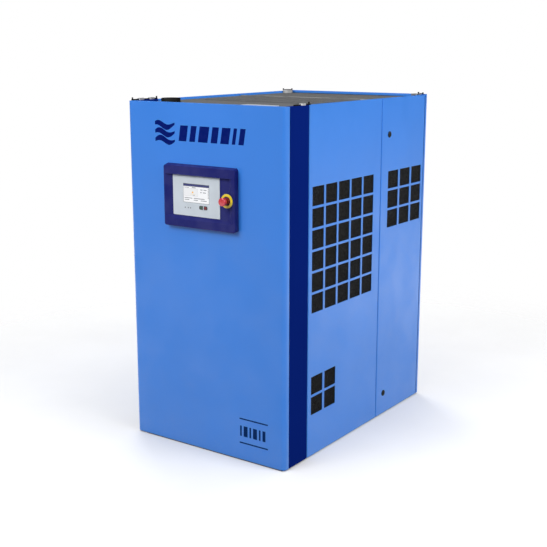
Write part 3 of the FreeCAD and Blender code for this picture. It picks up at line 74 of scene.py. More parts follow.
# ---- node graph helper ---------------------------------------------------------------------------
class Look:
    """One node-based material. Object coordinates are the row frame in metres, and stay put in every pose."""

    def __init__(self, name, roughness=0.5, metallic=0.0):
        self.mat = bpy.data.materials.new(name)
        self.mat.use_nodes = True
        self.tree = self.mat.node_tree
        self.bsdf = self.tree.nodes["Principled BSDF"]
        self.bsdf.inputs["Metallic"].default_value = metallic
        self.coord = self.add("ShaderNodeTexCoord").outputs["Object"]
        self.set("Roughness", roughness)

    def add(self, kind, **props):
        """New shader node with its properties set."""
        node = self.tree.nodes.new(kind)
        for key, value in props.items():
            setattr(node, key, value)
        return node

    def put(self, socket, value):
        """Link another node's output to the socket, or set a plain value."""
        if hasattr(value, "is_output"):
            self.tree.links.new(value, socket)
        else:
            socket.default_value = value

    def set(self, name, value):
        self.put(self.bsdf.inputs[name], value)

    def math(self, op, a, b=0.0):
        node = self.add("ShaderNodeMath", operation=op)
        self.put(node.inputs[0], a)
        self.put(node.inputs[1], b)
        return node.outputs[0]

    def fit(self, value, lo, hi, out_lo=0.0, out_hi=1.0, smooth=True):
        """Map the range lo to hi onto out_lo to out_hi."""
        node = self.add("ShaderNodeMapRange", interpolation_type="SMOOTHSTEP" if smooth else "LINEAR")
        for socket, v in zip(node.inputs, (value, lo, hi, out_lo, out_hi)):
            self.put(socket, v)
        return node.outputs[0]

    def mix(self, fac, a, b, blend="MIX"):
        node = self.add("ShaderNodeMix", data_type="RGBA", blend_type=blend)
        self.put(node.inputs["Factor"], fac)
        self.put(node.inputs[6], a if hasattr(a, "is_output") else (*a[:3], 1.0))
        self.put(node.inputs[7], b if hasattr(b, "is_output") else (*b[:3], 1.0))
        return node.outputs[2]

    def scaled(self, x=1.0, y=1.0, z=1.0, turn=(0.0, 0.0, 0.0)):
        """Object coordinates stretched along the axes, for grain that runs one way."""
        node = self.add("ShaderNodeMapping")
        self.put(node.inputs["Vector"], self.coord)
        node.inputs["Scale"].default_value = (x, y, z)
        node.inputs["Rotation"].default_value = turn
        return node.outputs[0]

    def noise(self, scale, detail=2.0, rough=0.5, vector=None, distortion=0.0):
        node = self.add("ShaderNodeTexNoise")
        self.put(node.inputs["Vector"], vector or self.coord)
        node.inputs["Scale"].default_value = scale
        node.inputs["Detail"].default_value = detail
        node.inputs["Roughness"].default_value = rough
        node.inputs["Distortion"].default_value = distortion
        return node.outputs[0]

    def cells(self, scale, feature="F1"):
        node = self.add("ShaderNodeTexVoronoi", feature=feature)
        self.put(node.inputs["Vector"], self.coord)
        node.inputs["Scale"].default_value = scale
        return node

    def axis(self, name):
        node = self.add("ShaderNodeSeparateXYZ")
        self.put(node.inputs[0], self.coord)
        return node.outputs[name]

    def bump(self, height, strength=0.2, distance=0.001, normal=None):
        node = self.add("ShaderNodeBump")
        node.inputs["Strength"].default_value = strength
        node.inputs["Distance"].default_value = distance
        self.put(node.inputs["Height"], height)
        if normal is not None:
            self.put(node.inputs["Normal"], normal)
        return node.outputs[0]

    def rounded(self, radius):
        """Shading normal with softened edges, and a mask that is 1 on edges."""
        bevel = self.add("ShaderNodeBevel", samples=4)
        bevel.inputs["Radius"].default_value = radius
        geometry = self.add("ShaderNodeNewGeometry")
        dot = self.add("ShaderNodeVectorMath", operation="DOT_PRODUCT")
        self.put(dot.inputs[0], bevel.outputs[0])
        self.put(dot.inputs[1], geometry.outputs["Normal"])
        return bevel.outputs[0], self.fit(dot.outputs["Value"], 0.999, 0.9)

    def patch(self, ranges):
        """Mask that is 1 inside a box given as {axis: (low, high)} in metres."""
        mask = None
        for name, (lo, hi) in ranges.items():
            away = self.math("ABSOLUTE", self.math("SUBTRACT", self.axis(name), (lo + hi) / 2))
            inside = self.math("LESS_THAN", away, (hi - lo) / 2)
            mask = inside if mask is None else self.math("MULTIPLY", mask, inside)
        return mask


# ---- materials -----------------------------------------------------------------------------------
def darker(color, k):
    return tuple(c * k for c in color)


def toward(color, other, k):
    return tuple(a + (b - a) * k for a, b in zip(color, other))


def powder_coat(name, color, rough=0.36, grain=0.10, edge=0.35, dust=0.25, scale=420.0, shine=0.5):
    """Baked powder coat: orange peel, faint mottling, edges lightened partly as wear and partly as a painted
    highlight, and a little dust near the floor.
    """
    m = Look(name)
    soft = m.noise(2.3, 3.0, 0.55)
    mottled = m.mix(m.fit(soft, 0.3, 0.7), darker(color, 0.975), darker(color, 1.02))
    fine = m.noise(scale * 2.4, 1.0)
    mottled = m.mix(m.fit(fine, 0.35, 0.65, 0.0, 0.10), mottled, darker(color, 0.88))
    normal, rim = m.rounded(0.0016)
    # Edges lightened toward white: partly wear, partly a painted highlight along folds and rims.
    wear_and_highlight = m.math("MULTIPLY", rim, m.fit(m.noise(60.0, 3.0, 0.6), 0.30, 0.62))
    mottled = m.mix(m.math("MULTIPLY", wear_and_highlight, edge), mottled, toward(color, (1, 1, 1), 0.42))
    low = m.fit(m.axis("Z"), 0.16, 0.01)
    specks = m.fit(m.noise(120.0, 4.0, 0.7), 0.45, 0.75)
    mottled = m.mix(m.math("MULTIPLY", m.math("MULTIPLY", low, specks), dust), mottled, (0.42, 0.40, 0.37))
    m.set("Base Color", mottled)
    m.set("Roughness", m.fit(m.noise(7.0, 4.0, 0.6), 0.25, 0.75, rough - 0.05, rough + 0.07))
    peel = m.noise(scale, 2.0, 0.5)
    dents = m.noise(3.0, 1.0)
    height = m.math("ADD", peel, m.math("MULTIPLY", dents, 0.8))
    m.set("Normal", m.bump(height, grain, 0.0009, normal))
    m.set("Specular IOR Level", shine)
    return m


def galvanised(name, color=(0.50, 0.52, 0.53), rough=0.40):
    """Zinc coat with spangle."""
    m = Look(name, metallic=0.85)
    spangle = m.cells(70.0)
    tone = m.fit(spangle.outputs["Color"], 0.0, 1.0, 0.78, 1.10, False)
    base = m.mix(1.0, color, tone, "MULTIPLY")
    stain = m.fit(m.noise(5.0, 5.0, 0.65), 0.5, 0.8)
    base = m.mix(m.math("MULTIPLY", stain, 0.35), base, (0.62, 0.62, 0.60))
    m.set("Base Color", base)
    m.set("Roughness", m.fit(spangle.outputs["Color"], 0.0, 1.0, rough - 0.10, rough + 0.14, False))
    normal, rim = m.rounded(0.0008)
    m.set("Normal", m.bump(m.noise(300.0, 3.0), 0.12, 0.0006, normal))
    return m


def moulding(name, color, rough=0.45, grain=900.0, depth=0.12, edge=0.15, shine=0.5):
    """Injection moulding with a fine spark-eroded grain and polished, slightly paler edges."""
    m = Look(name)
    cloud = m.fit(m.noise(14.0, 3.0), 0.3, 0.7)
    base = m.mix(cloud, darker(color, 0.93), toward(color, (1, 1, 1), 0.015))
    normal, rim = m.rounded(0.0012)
    base = m.mix(m.math("MULTIPLY", rim, edge), base, toward(color, (1, 1, 1), 0.25))
    m.set("Base Color", base)
    m.set("Roughness", m.fit(m.noise(40.0, 3.0), 0.3, 0.7, rough - 0.06, rough + 0.08))
    m.set("Normal", m.bump(m.cells(grain, "SMOOTH_F1").outputs["Distance"], depth, 0.0004, normal))
    m.set("Specular IOR Level", shine)
    return m


def gloss_moulding(name, color, rough=0.22):
    """Polished moulding under a thin clear skin."""
    m = Look(name)
    base = m.mix(m.fit(m.noise(30.0, 3.0), 0.3, 0.7), darker(color, 0.92), toward(color, (1, 1, 1), 0.02))
    normal, rim = m.rounded(0.0008)
    base = m.mix(m.math("MULTIPLY", rim, 0.2), base, toward(color, (1, 1, 1), 0.35))
    m.set("Base Color", base)
    m.set("Roughness", m.fit(m.noise(90.0, 3.0), 0.3, 0.7, rough - 0.05, rough + 0.10))
    m.set("Normal", m.bump(m.noise(500.0, 2.0), 0.05, 0.0004, normal))
    m.set("Coat Weight", 0.3)
    m.set("Coat Roughness", 0.12)
    return m


def bare_metal(name, color, rough=0.30, rings="Y", density=900.0, tarnish=(0.30, 0.25, 0.2), aged=0.15):
    """Turned or drawn metal: tool lines along one axis, smudges, brighter edges."""
    m = Look(name, metallic=1.0)
    lines = m.noise(1.0, 2.0, 0.6, m.scaled(*[density if a == rings else 9.0 for a in "XYZ"]))
    smudge = m.fit(m.noise(18.0, 5.0, 0.65), 0.48, 0.78)
    base = m.mix(m.fit(lines, 0.3, 0.7), darker(color, 0.86), toward(color, (1, 1, 1), 0.08))
    base = m.mix(m.math("MULTIPLY", smudge, aged), base, tarnish)
    normal, rim = m.rounded(0.0007)
    base = m.mix(m.math("MULTIPLY", rim, 0.5), base, toward(color, (1, 1, 1), 0.45))
    m.set("Base Color", base)
    polish = m.fit(lines, 0.3, 0.7, rough - 0.06, rough + 0.08)
    m.set("Roughness", m.math("ADD", polish, m.math("MULTIPLY", smudge, 0.18)))
    m.set("Normal", m.bump(lines, 0.08, 0.0003, normal))
    return m


def casting(name, color, rough=0.55, paint=True):
    """Sand casting, raw or enamelled, with a lumpy skin."""
    m = Look(name, metallic=0.0 if paint else 0.6)
    lump = m.noise(260.0, 4.0, 0.6)
    wide = m.noise(24.0, 3.0)
    base = m.mix(m.fit(wide, 0.3, 0.7), darker(color, 0.82), toward(color, (1, 1, 1), 0.03))
    oily = m.fit(m.noise(9.0, 5.0, 0.7), 0.55, 0.78)
    base = m.mix(m.math("MULTIPLY", oily, 0.45), base, (0.018, 0.015, 0.012))
    normal, rim = m.rounded(0.0022)
    base = m.mix(m.math("MULTIPLY", rim, 0.35), base, toward(color, (0.6, 0.6, 0.58), 0.45))
    m.set("Base Color", base)
    m.set("Roughness", m.math("SUBTRACT", rough, m.math("MULTIPLY", oily, 0.22)))
    m.set("Normal", m.bump(m.math("ADD", lump, m.math("MULTIPLY", wide, 0.5)), 0.35, 0.0012, normal))
    return m


def fin_stack(name, color, lo, hi, pitch):
    """Aluminium fins: fine lines of painted shade for the gaps between fins, between lo and hi along Y, plain
    metal outside.
    """
    m = Look(name, metallic=0.8)
    place = m.axis("Y")
    inside = m.math("MULTIPLY", m.math("GREATER_THAN", place, lo), m.math("LESS_THAN", place, hi))
    lines = m.math("PINGPONG", m.math("DIVIDE", place, pitch), 1.0)
    dust = m.fit(m.noise(30.0, 5.0, 0.7), 0.45, 0.75)
    # Painted shade in the gaps between the fins.
    painted_gap_shade = m.math("MULTIPLY", inside, m.fit(lines, 0.2, 0.75, 0.75, 0.0))
    base = m.mix(painted_gap_shade, color, darker(color, 0.18))
    base = m.mix(m.math("MULTIPLY", dust, 0.4), base, (0.16, 0.15, 0.14))
    m.set("Base Color", base)
    m.set("Roughness", m.fit(dust, 0.0, 1.0, 0.38, 0.7))
    normal, rim = m.rounded(0.0006)
    m.set("Normal", m.bump(m.math("MULTIPLY", inside, lines), 0.4, 0.0008, normal))
    return m


def fibre_mat(name, color=(0.0125, 0.0125, 0.0130)):
    """Open filter fleece: tangled fibres with painted pale highlights and painted shade in the pores."""
    m = Look(name)
    strands_a = m.noise(260.0, 5.0, 0.75, m.scaled(1, 1, 0.35, (0.4, 0.2, 0.3)), 1.4)
    strands_b = m.noise(260.0, 5.0, 0.75, m.scaled(1, 0.35, 1, (-0.5, 0.1, 0.2)), 1.4)
    tangle = m.math("MAXIMUM", m.fit(strands_a, 0.46, 0.60), m.fit(strands_b, 0.46, 0.60))
    pore_depth_and_shade = m.fit(m.cells(210.0).outputs["Distance"], 0.25, 0.70)
    # Painted highlights on the fibres and painted shade in the pores. The grime below is dirt.
    base = m.mix(tangle, darker(color, 0.35), darker(color, 2.4))
    base = m.mix(m.math("MULTIPLY", pore_depth_and_shade, 0.5), base, darker(color, 0.25))
    grime = m.fit(m.noise(8.0, 4.0, 0.6), 0.45, 0.8)
    base = m.mix(m.math("MULTIPLY", grime, 0.2), base, (0.034, 0.033, 0.031))
    m.set("Base Color", base)
    m.set("Roughness", m.fit(tangle, 0.0, 1.0, 0.95, 0.72))
    m.set("Normal", m.bump(m.math("SUBTRACT", tangle, m.math("MULTIPLY", pore_depth_and_shade, 0.5)), 0.85, 0.0022))
    m.set("Specular IOR Level", 0.08)
    return m


def foam(name, color=(0.045, 0.045, 0.048)):
    """Open-cell acoustic foam, its cell pits darkened as painted shade."""
    m = Look(name)
    cell = m.cells(320.0)
    pit_depth_and_shade = m.fit(cell.outputs["Distance"], 0.05, 0.45)
    # Painted shade in the cell pits.
    base = m.mix(pit_depth_and_shade, darker(color, 0.4), toward(color, (1, 1, 1), 0.05))
    aged = m.fit(m.noise(5.0, 4.0), 0.4, 0.8, 0.0, 0.35)
    base = m.mix(aged, base, toward(color, (0.25, 0.2, 0.12), 0.25))
    m.set("Base Color", base)
    m.set("Roughness", m.fit(pit_depth_and_shade, 0.0, 1.0, 1.0, 0.85))
    m.set("Normal", m.bump(m.math("ADD", pit_depth_and_shade, m.noise(700.0, 2.0)), 0.6, 0.0012))
    m.set("Sheen Weight", 0.2)
    return m


def rubber(name, color=(0.012, 0.012, 0.013), rough=0.6):
    """Matt rubber with a patchy grey bloom."""
    m = Look(name)
    bloom = m.fit(m.noise(22.0, 5.0, 0.7), 0.48, 0.8)
    m.set("Base Color", m.mix(m.math("MULTIPLY", bloom, 0.3), color, (0.09, 0.088, 0.085)))
    m.set("Roughness", m.fit(bloom, 0.0, 1.0, rough - 0.1, rough + 0.2))
    m.set("Normal", m.bump(m.noise(700.0, 3.0), 0.2, 0.0004))
    return m


def vinyl(name, color):
    """Printed or cut film."""
    m = Look(name)
    patchy = m.fit(m.noise(60.0, 3.0), 0.3, 0.7)
    m.set("Base Color", m.mix(patchy, darker(color, 0.92), toward(color, (1, 1, 1), 0.003)))
    m.set("Roughness", m.fit(m.noise(25.0, 4.0), 0.3, 0.7, 0.30, 0.42))
    m.set("Normal", m.bump(m.noise(420.0, 2.0), 0.06, 0.0005))
    m.set("Specular IOR Level", 0.03)
    return m


BLUE = (0.036, 0.224, 0.765)
NAVY = (0.0028, 0.0160, 0.178)
BEZEL = (0.0125, 0.0160, 0.1500)
ROOF_GREY = (0.112, 0.112, 0.112)

coat_blue = powder_coat("coat_blue", BLUE, edge=0.16, dust=0.06)
coat_navy = powder_coat("coat_navy", NAVY, edge=0.03, dust=0.0, shine=0.0)
coat_frame = powder_coat("coat_frame", (0.016, 0.016, 0.018), 0.5, 0.3, 0.5, 0.5, 300.0)
coat_guard = powder_coat("coat_guard", ROOF_GREY, 0.6, 0.4, 0.25, 0.0, 260.0, 0.03)
coat_lug = powder_coat("coat_lug", (0.006, 0.006, 0.007), 0.5, 0.3, 0.06, 0.0, shine=0.05)
coat_shroud = powder_coat("coat_shroud", (0.022, 0.022, 0.024), 0.45, 0.3, 0.4, 0.3)
coat_can = powder_coat("coat_can", (0.62, 0.62, 0.60), 0.3, 0.1, 0.2, 0.2)
coat_pot = powder_coat("coat_pot", (0.014, 0.014, 0.015), 0.28, 0.12, 0.3, 0.3)
coat_tank = powder_coat("coat_tank", (0.030, 0.075, 0.16), 0.35, 0.2, 0.4, 0.3, 300.0)
zinc = galvanised("zinc")
zinc_bright = galvanised("zinc_bright", (0.62, 0.62, 0.62), 0.45)
plastic_entry = moulding("plastic_entry", (0.006, 0.006, 0.006), 0.5, 900.0, 0.12, 0.05, 0.1)
plastic_bezel = moulding("plastic_bezel", BEZEL, 0.42, 700.0, 0.08, 0.06, 0.10)
plastic_face = moulding("plastic_face", (0.66, 0.72, 0.78), 0.38, 500.0, 0.04, 0.2)
plastic_keys = moulding("plastic_keys", (0.030, 0.031, 0.036), 0.5)
plastic_grey = moulding("plastic_grey", (0.30, 0.31, 0.32), 0.42)
plastic_fan = moulding("plastic_fan", (0.020, 0.020, 0.022), 0.4)
lamp_lens = gloss_moulding("lamp_lens", (0.26, 0.28, 0.32), 0.15)
stop_yellow = gloss_moulding("stop_yellow", (0.86, 0.66, 0.010), 0.3)
stop_dark = gloss_moulding("stop_dark", (0.20, 0.004, 0.008))
stop_red = gloss_moulding("stop_red", (0.62, 0.014, 0.030), 0.25)
steel_turned = bare_metal("steel_turned", (0.56, 0.55, 0.54))
latch_black = moulding("latch_black", (0.006, 0.006, 0.006), 0.5, 700.0, 0.20, 0.04, 0.1)
steel_screw = bare_metal("steel_screw", (0.035, 0.035, 0.038), 0.4, "X")
steel_pipe = bare_metal("steel_pipe", (0.46, 0.46, 0.45), 0.34, "Z", 60.0, (0.25, 0.22, 0.18), 0.3)
copper = bare_metal("copper", (0.78, 0.36, 0.22), 0.30, "Z", 60.0, (0.22, 0.11, 0.06), 0.55)
alloy = bare_metal("alloy", (0.66, 0.66, 0.66), 0.38, "Z", 200.0)
cast_airend = casting("cast_airend", (0.16, 0.165, 0.17), 0.5, False)
cast_motor = casting("cast_motor", (0.050, 0.085, 0.150), 0.42)
rubber_black = rubber("rubber_black")
insulation = rubber("insulation", (0.018, 0.018, 0.019), 0.75)
cooler_fins = fin_stack("cooler_fins", (0.60, 0.60, 0.59), COOLER_LOW.y, COOLER_HIGH.y, 0.0035)
coil_fins = fin_stack("coil_fins", (0.66, 0.66, 0.65), COIL_LOW.y + 0.003, COIL_HIGH.y - 0.003, 0.0018)
fleece = fibre_mat("fleece")
acoustic = foam("acoustic")
ink_navy = vinyl("ink_navy", (0.0008, 0.0100, 0.155))
ink_dark = vinyl("ink_dark", (0.0006, 0.0230, 0.120))
ink_green = vinyl("ink_green", (0.02, 0.30, 0.09))
ink_red = vinyl("ink_red", (0.55, 0.03, 0.04))


def screen_look():
    """Lit display: white page, dark header, grey tiles and bars, and a small amber mark. No lettering."""
    m = Look("screen")
    page = (0.92, 0.93, 0.95)
    header, header_height = (0.018, 0.025, 0.145), 0.012
    tile_frame, tile = (0.66, 0.67, 0.70), (0.84, 0.85, 0.87)
    grey, side_grey = (0.16, 0.17, 0.20), (0.30, 0.31, 0.34)
    amber, pale_amber = (0.95, 0.50, 0.02), (0.85, 0.62, 0.25)
    surround, border = (0.10, 0.11, 0.13), 0.0012
    left, right = SCREEN_LOW.x, SCREEN_HIGH.x
    foot, top = SCREEN_LOW.z, SCREEN_HIGH.z
    marks = [
        # from x, to x, from z, to z, measured from the lower left corner of the display
        (0.006, 0.085, 0.029, 0.065, tile_frame),
        (0.007, 0.084, 0.030, 0.064, tile),
        (0.007, 0.052, 0.019, 0.022, grey),
        (0.060, 0.122, 0.019, 0.022, grey),
        (0.007, 0.034, 0.011, 0.014, grey),
        (0.060, 0.084, 0.011, 0.014, grey),
        (0.100, 0.134, 0.011, 0.014, grey),
        (0.098, 0.112, 0.060, 0.063, grey),
        (0.117, 0.134, 0.060, 0.063, grey),
        (0.098, 0.106, 0.048, 0.051, grey),
        (0.112, 0.130, 0.048, 0.051, grey),
        (0.055, 0.067, 0.0335, 0.0355, grey),
        (0.006, 0.034, 0.067, 0.069, grey),
        (0.050, 0.072, 0.067, 0.070, grey),
        (0.050, 0.058, 0.043, 0.0505, amber),
        (0.040, 0.070, 0.0375, 0.0385, pale_amber),
    ]
    marks += [(0.141, 0.146, 0.025 + 0.0065 * i, 0.0285 + 0.0065 * i, side_grey) for i in range(7)]
    color = m.mix(m.patch({"X": (left, right), "Z": (top - header_height, top)}), page, header)
    for x0, x1, z0, z1, ink in marks:
        color = m.mix(m.patch({"X": (left + x0, left + x1), "Z": (foot + z0, foot + z1)}), color, ink)
    inner = m.patch({"X": (left + border, right - border), "Z": (foot + border, top - border)})
    color = m.mix(inner, surround, color)
    scan = m.fit(m.noise(4000.0, 1.0), 0.3, 0.7, 0.96, 1.0)
    color = m.mix(1.0, color, scan, "MULTIPLY")
    m.set("Base Color", m.mix(0.6, color, (0.02, 0.02, 0.022)))
    m.set("Emission Color", color)
    m.set("Emission Strength", 0.62)
    m.set("Roughness", m.fit(m.noise(35.0, 4.0), 0.35, 0.75, 0.08, 0.2))
    m.set("Normal", m.bump(m.noise(60.0, 2.0), 0.02, 0.0004))
    return m


def roof_sheet_look():
    """The roof coat, with a bare zinc gland plate and a painted highlight along the upstand between the
    sheets.
    """
    m = powder_coat("roof_sheet", ROOF_GREY, 0.7, 0.5, 0.2, 0.0, 230.0, 0.02)
    gland = m.patch({"X": (0.139, 0.313), "Y": (-0.561, -0.504), "Z": (1.6081, 1.6160)})
    painted = m.bsdf.inputs["Base Color"].links[0].from_socket
    # Painted highlight: a pale broken line on the upstand between the sheets, standing in for its lit edge.
    upstand = m.patch({"Y": (0.1865, 0.1935), "Z": (1.6085, 1.6125)})
    painted_seam_highlight = m.math("MULTIPLY", upstand, m.fit(m.noise(6.0, 2.0), 0.38, 0.52, 0.25, 1.0))
    painted = m.mix(painted_seam_highlight, painted, (0.42, 0.42, 0.42))
    m.set("Base Color", m.mix(gland, painted, (0.62, 0.64, 0.68)))
    m.set("Metallic", m.math("MULTIPLY", gland, 0.6))
    return m


def intake_look():
    """Black filter housing over a cast inlet valve."""
    m = moulding("air_intake", (0.014, 0.014, 0.016), 0.4)
    valve = m.math("LESS_THAN", m.axis("Z"), 0.520)
    painted = m.bsdf.inputs["Base Color"].links[0].from_socket
    cast = m.mix(m.fit(m.noise(200.0, 3.0), 0.3, 0.7), (0.36, 0.36, 0.35), (0.52, 0.52, 0.51))
    m.set("Base Color", m.mix(valve, painted, cast))
    m.set("Metallic", m.math("MULTIPLY", valve, 0.85))
    return m


LOOKS = {
    coat_blue: ["front_panel", "right_side_panel", "left_side_panel", "rear_panel",
                "right_door", "left_door"],
    coat_navy: ["corner_strips"],
    coat_frame: ["base_frame", "frame_tubes"],
    zinc: ["bay_divider", "electrical_cabinet", "fixed_hinges", "right_door_hinges", "left_door_hinges"],
    zinc_bright: ["lug_shoes"],
    roof_sheet_look(): ["roof_plates"],
    coat_guard: ["exhaust_guard"],
    coat_lug: ["lug_bars"],
    plastic_entry: ["cable_grommet", "right_latch_housings", "left_latch_housings"],
    intake_look(): ["air_intake"],
    latch_black: ["right_latch_upper", "right_latch_lower", "left_latch_upper", "left_latch_lower"],
    steel_screw: ["rear_screws"],
    plastic_bezel: ["controller_bezel"],
    plastic_face: ["controller_unit"],
    screen_look(): ["display_glass"],
    plastic_keys: ["start_key", "stop_key"],
    lamp_lens: ["indicator_lamps"],
    stop_yellow: ["estop_ring"],
    stop_dark: ["estop_body"],
    stop_red: ["estop_head"],
    steel_turned: ["estop_plunger", "motor_shaft", "male_rotor", "female_rotor"],
    plastic_grey: ["switchgear"],
    cast_motor: ["drive_motor"],
    coat_tank: ["separator_tank"],
    cast_airend: ["airend_casing"],
    coat_can: ["oil_filter"],
    cooler_fins: ["cooler_core"],
    coil_fins: ["condenser_coil"],
    alloy: ["cooling_fan", "water_separator"],
    coat_shroud: ["fan_shroud", "condenser_shroud"],
    coat_pot: ["refrigerant_compressor"],
    plastic_fan: ["condenser_fan"],
    insulation: ["heat_exchanger"],
    steel_pipe: ["air_pipework"],
    copper: ["refrigerant_pipework"],
    fleece: ["intake_filter_mats", "dryer_filter_mat"],
    acoustic: ["right_door_foam", "left_door_foam"],
}
for look, names in LOOKS.items():
    for name in names:
        mesh = frame["nodes"][name].data
        mesh.materials.clear()
        mesh.materials.append(look.mat)


# ---- mesh helpers --------------------------------------------------------------------------------
def make_object(name, verts, faces, look, body, smooth=False):
    """Closed mesh with one material, carried by the named body."""
    mesh = bpy.data.meshes.new(name)
    mesh.from_pydata([Vector(v) for v in verts], [], faces)
    mesh.validate()
    solid = bmesh.new()
    solid.from_mesh(mesh)
    bmesh.ops.recalc_face_normals(solid, faces=solid.faces)
    solid.to_mesh(mesh)
    solid.free()
    for polygon in mesh.polygons:
        polygon.use_smooth = smooth
    mesh.materials.append(look.mat)
    obj = bpy.data.objects.new(name, mesh)
    bpy.context.scene.collection.objects.link(obj)
    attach(obj, body)
    return obj


def film(name, outlines, y, look, body, thickness=0.00025):
    """Flat film pieces on a face that looks towards -Y: each outline is a list of (x, z)."""
    verts, faces = [], []
    for outline in outlines:
        n, start = len(outline), len(verts)
        verts += [(x, y - thickness, z) for x, z in outline] + [(x, y + 0.00002, z) for x, z in outline]
        faces.append([start + i for i in range(n)])
        faces.append([start + n + i for i in reversed(range(n))])
        faces += [[start + i, start + (i + 1) % n, start + n + (i + 1) % n, start + n + i] for i in range(n)]
    return make_object(name, verts, faces, look, body)


def cable(name, points, radius, look, body, sides=12):
    """Round cable or hose along a smooth curve that starts and ends at the outer points."""
    curve = bpy.data.curves.new(name, "CURVE")
    curve.dimensions = "3D"
    curve.bevel_depth = radius
    curve.bevel_resolution = sides // 4
    curve.resolution_u = 10
    spline = curve.splines.new("NURBS")
    spline.points.add(len(points) - 1)
    for point, co in zip(spline.points, points):
        point.co = (*co, 1.0)
    spline.use_endpoint_u = True
    spline.order_u = min(4, len(points))
    temp = bpy.data.objects.new(name, curve)
    bpy.context.scene.collection.objects.link(temp)
    bpy.context.view_layer.update()
    mesh = bpy.data.meshes.new_from_object(temp)
    bpy.data.objects.remove(temp)
    mesh.materials.clear()
    mesh.materials.append(look.mat)
    for polygon in mesh.polygons:
        polygon.use_smooth = True
    obj = bpy.data.objects.new(name, mesh)
    bpy.context.scene.collection.objects.link(obj)
    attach(obj, body)
    return obj


def slab(name, y0, y1, z0, z1, step, depth, x_of, look, body, keep=lambda y, z: True):
    """Soft slab against a plane of constant x. depth(y, z) is its face and x_of maps a depth to x.

    Cells outside keep(y, z) are left out.
    """
    ny, nz = max(2, round((y1 - y0) / step)), max(2, round((z1 - z0) / step))
    ys = [y0 + (y1 - y0) * i / ny for i in range(ny + 1)]
    zs = [z0 + (z1 - z0) * k / nz for k in range(nz + 1)]
    cell = {(i, k) for i in range(ny) for k in range(nz)
            if keep((ys[i] + ys[i + 1]) / 2, (zs[k] + zs[k + 1]) / 2)}
    index, verts, faces = {}, [], []

    def vertex(i, k, side):
        if (i, k, side) not in index:
            index[i, k, side] = len(verts)
            x = x_of(depth(ys[i], zs[k]) if side else 0.0)
            verts.append((x, ys[i], zs[k]))
        return index[i, k, side]

    for i, k in sorted(cell):
        corners = [(i, k), (i + 1, k), (i + 1, k + 1), (i, k + 1)]
        faces.append([vertex(*c, 1) for c in corners])
        faces.append([vertex(*c, 0) for c in reversed(corners)])
        for (a, b), near in zip(zip(corners, corners[1:] + corners[:1]),
                                ((i, k - 1), (i + 1, k), (i, k + 1), (i - 1, k))):
            if near not in cell:
                faces.append([vertex(*a, 1), vertex(*b, 1), vertex(*b, 0), vertex(*a, 0)])
    return make_object(name, verts, faces, look, body, True)


# ---- soft pieces ---------------------------------------------------------------------------------
def edge_fade(y, z, y0, y1, z0, z1, width):
    """0 on the outline of the slab, 1 from width inwards, with a round shoulder between."""
    d = min(y - y0, y1 - y, z - z0, z1 - z)
    return max(0.0, min(1.0, d / width)) ** 0.5


# Openings of a grille: near lower y, top z, how many along y and down, size of one and the bars between.
Grille = namedtuple("Grille", "y0 z_top columns rows width height gap_y gap_z")
LAP = 0.010
INTAKE = Grille(INTAKE_LOW.y + LAP, INTAKE_HIGH.z - LAP, 5, 6, 0.096, 0.0865, 0.015, 0.011)
MOTOR = Grille(-0.434, 0.388, 2, 2, 0.097, 0.0865, 0.017, 0.011)
DRYER = Grille(DRYER_LOW.y + LAP, DRYER_HIGH.z - LAP, 3, 3, 0.105, 0.0865, 0.0175, 0.011)
# The fleece stays a little inside the solid mat that it replaces.
FLEECE_LAP = LAP - 0.0005
FLEECE_DEPTH = 0.0096
FLEECE_BACK_X = INTAKE_LOW.x + 0.0002


def grille_bulge(y, z, grille):
    """How far the mat is drawn in behind each opening, 0 to 1."""
    pitch_y, pitch_z = grille.width + grille.gap_y, grille.height + grille.gap_z
    u = (y - grille.y0) % pitch_y / grille.width
    v = (grille.z_top - z) % pitch_z / grille.height
    inside_y = grille.y0 < y < grille.y0 + grille.columns * pitch_y
    inside_z = grille.z_top - grille.rows * pitch_z < z < grille.z_top
    if not (inside_y and inside_z) or u > 1 or v > 1:
        return 0.0
    return math.sin(math.pi * u) ** 0.6 * math.sin(math.pi * v) ** 0.6


def fleece_mat(name, grille, body):
    """Filter fleece behind a grille: rounded edges, lumpy faces, drawn in a little at every opening."""
    ya = grille.y0 - FLEECE_LAP
    yb = grille.y0 + grille.columns * (grille.width + grille.gap_y) - grille.gap_y + FLEECE_LAP
    za = grille.z_top - grille.rows * (grille.height + grille.gap_z) + grille.gap_z - FLEECE_LAP
    zb = grille.z_top + FLEECE_LAP
    lumps = [(random.uniform(ya, yb), random.uniform(za, zb), random.uniform(-1, 1)) for _ in range(40)]

    def face(y, z):
        lump = sum(s * math.exp(-((y - a) ** 2 + (z - b) ** 2) / 0.0006) for a, b, s in lumps)
        ripple_y = math.sin(y * 1900 + 3 * math.sin(z * 700))
        ripple_z = math.sin(z * 1700 + 2 * math.sin(y * 900))
        edge = edge_fade(y, z, ya, yb, za, zb, 0.006)
        raised = (0.0056 + 0.0004 * lump + 0.00035 * ripple_y * ripple_z) * edge
        return min(0.0040 + raised - 0.0024 * grille_bulge(y, z, grille), FLEECE_DEPTH)

    return slab(name, ya, yb, za, zb, 0.0058, face, lambda d: FLEECE_BACK_X + d, fleece, body)


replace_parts(fleece_mat("cooling_air_fleece", INTAKE, "cabinet"), "intake_filter_mats")
fleece_mat("motor_air_fleece", MOTOR, "cabinet")
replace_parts(fleece_mat("dryer_air_fleece", DRYER, "right_door"), "dryer_filter_mat")


def egg_crate(y, z, y0, y1, z0, z1):
    """Profiled foam face: waves between 8 and 18 mm deep, pinched towards the edges."""
    wave = 0.5 + 0.25 * (math.cos(y * 2 * math.pi / 0.034) + math.cos(z * 2 * math.pi / 0.034))
    edge = edge_fade(y, z, y0, y1, z0, z1, 0.014)
    return (0.007 + 0.0105 * wave) * (0.55 + 0.45 * edge)


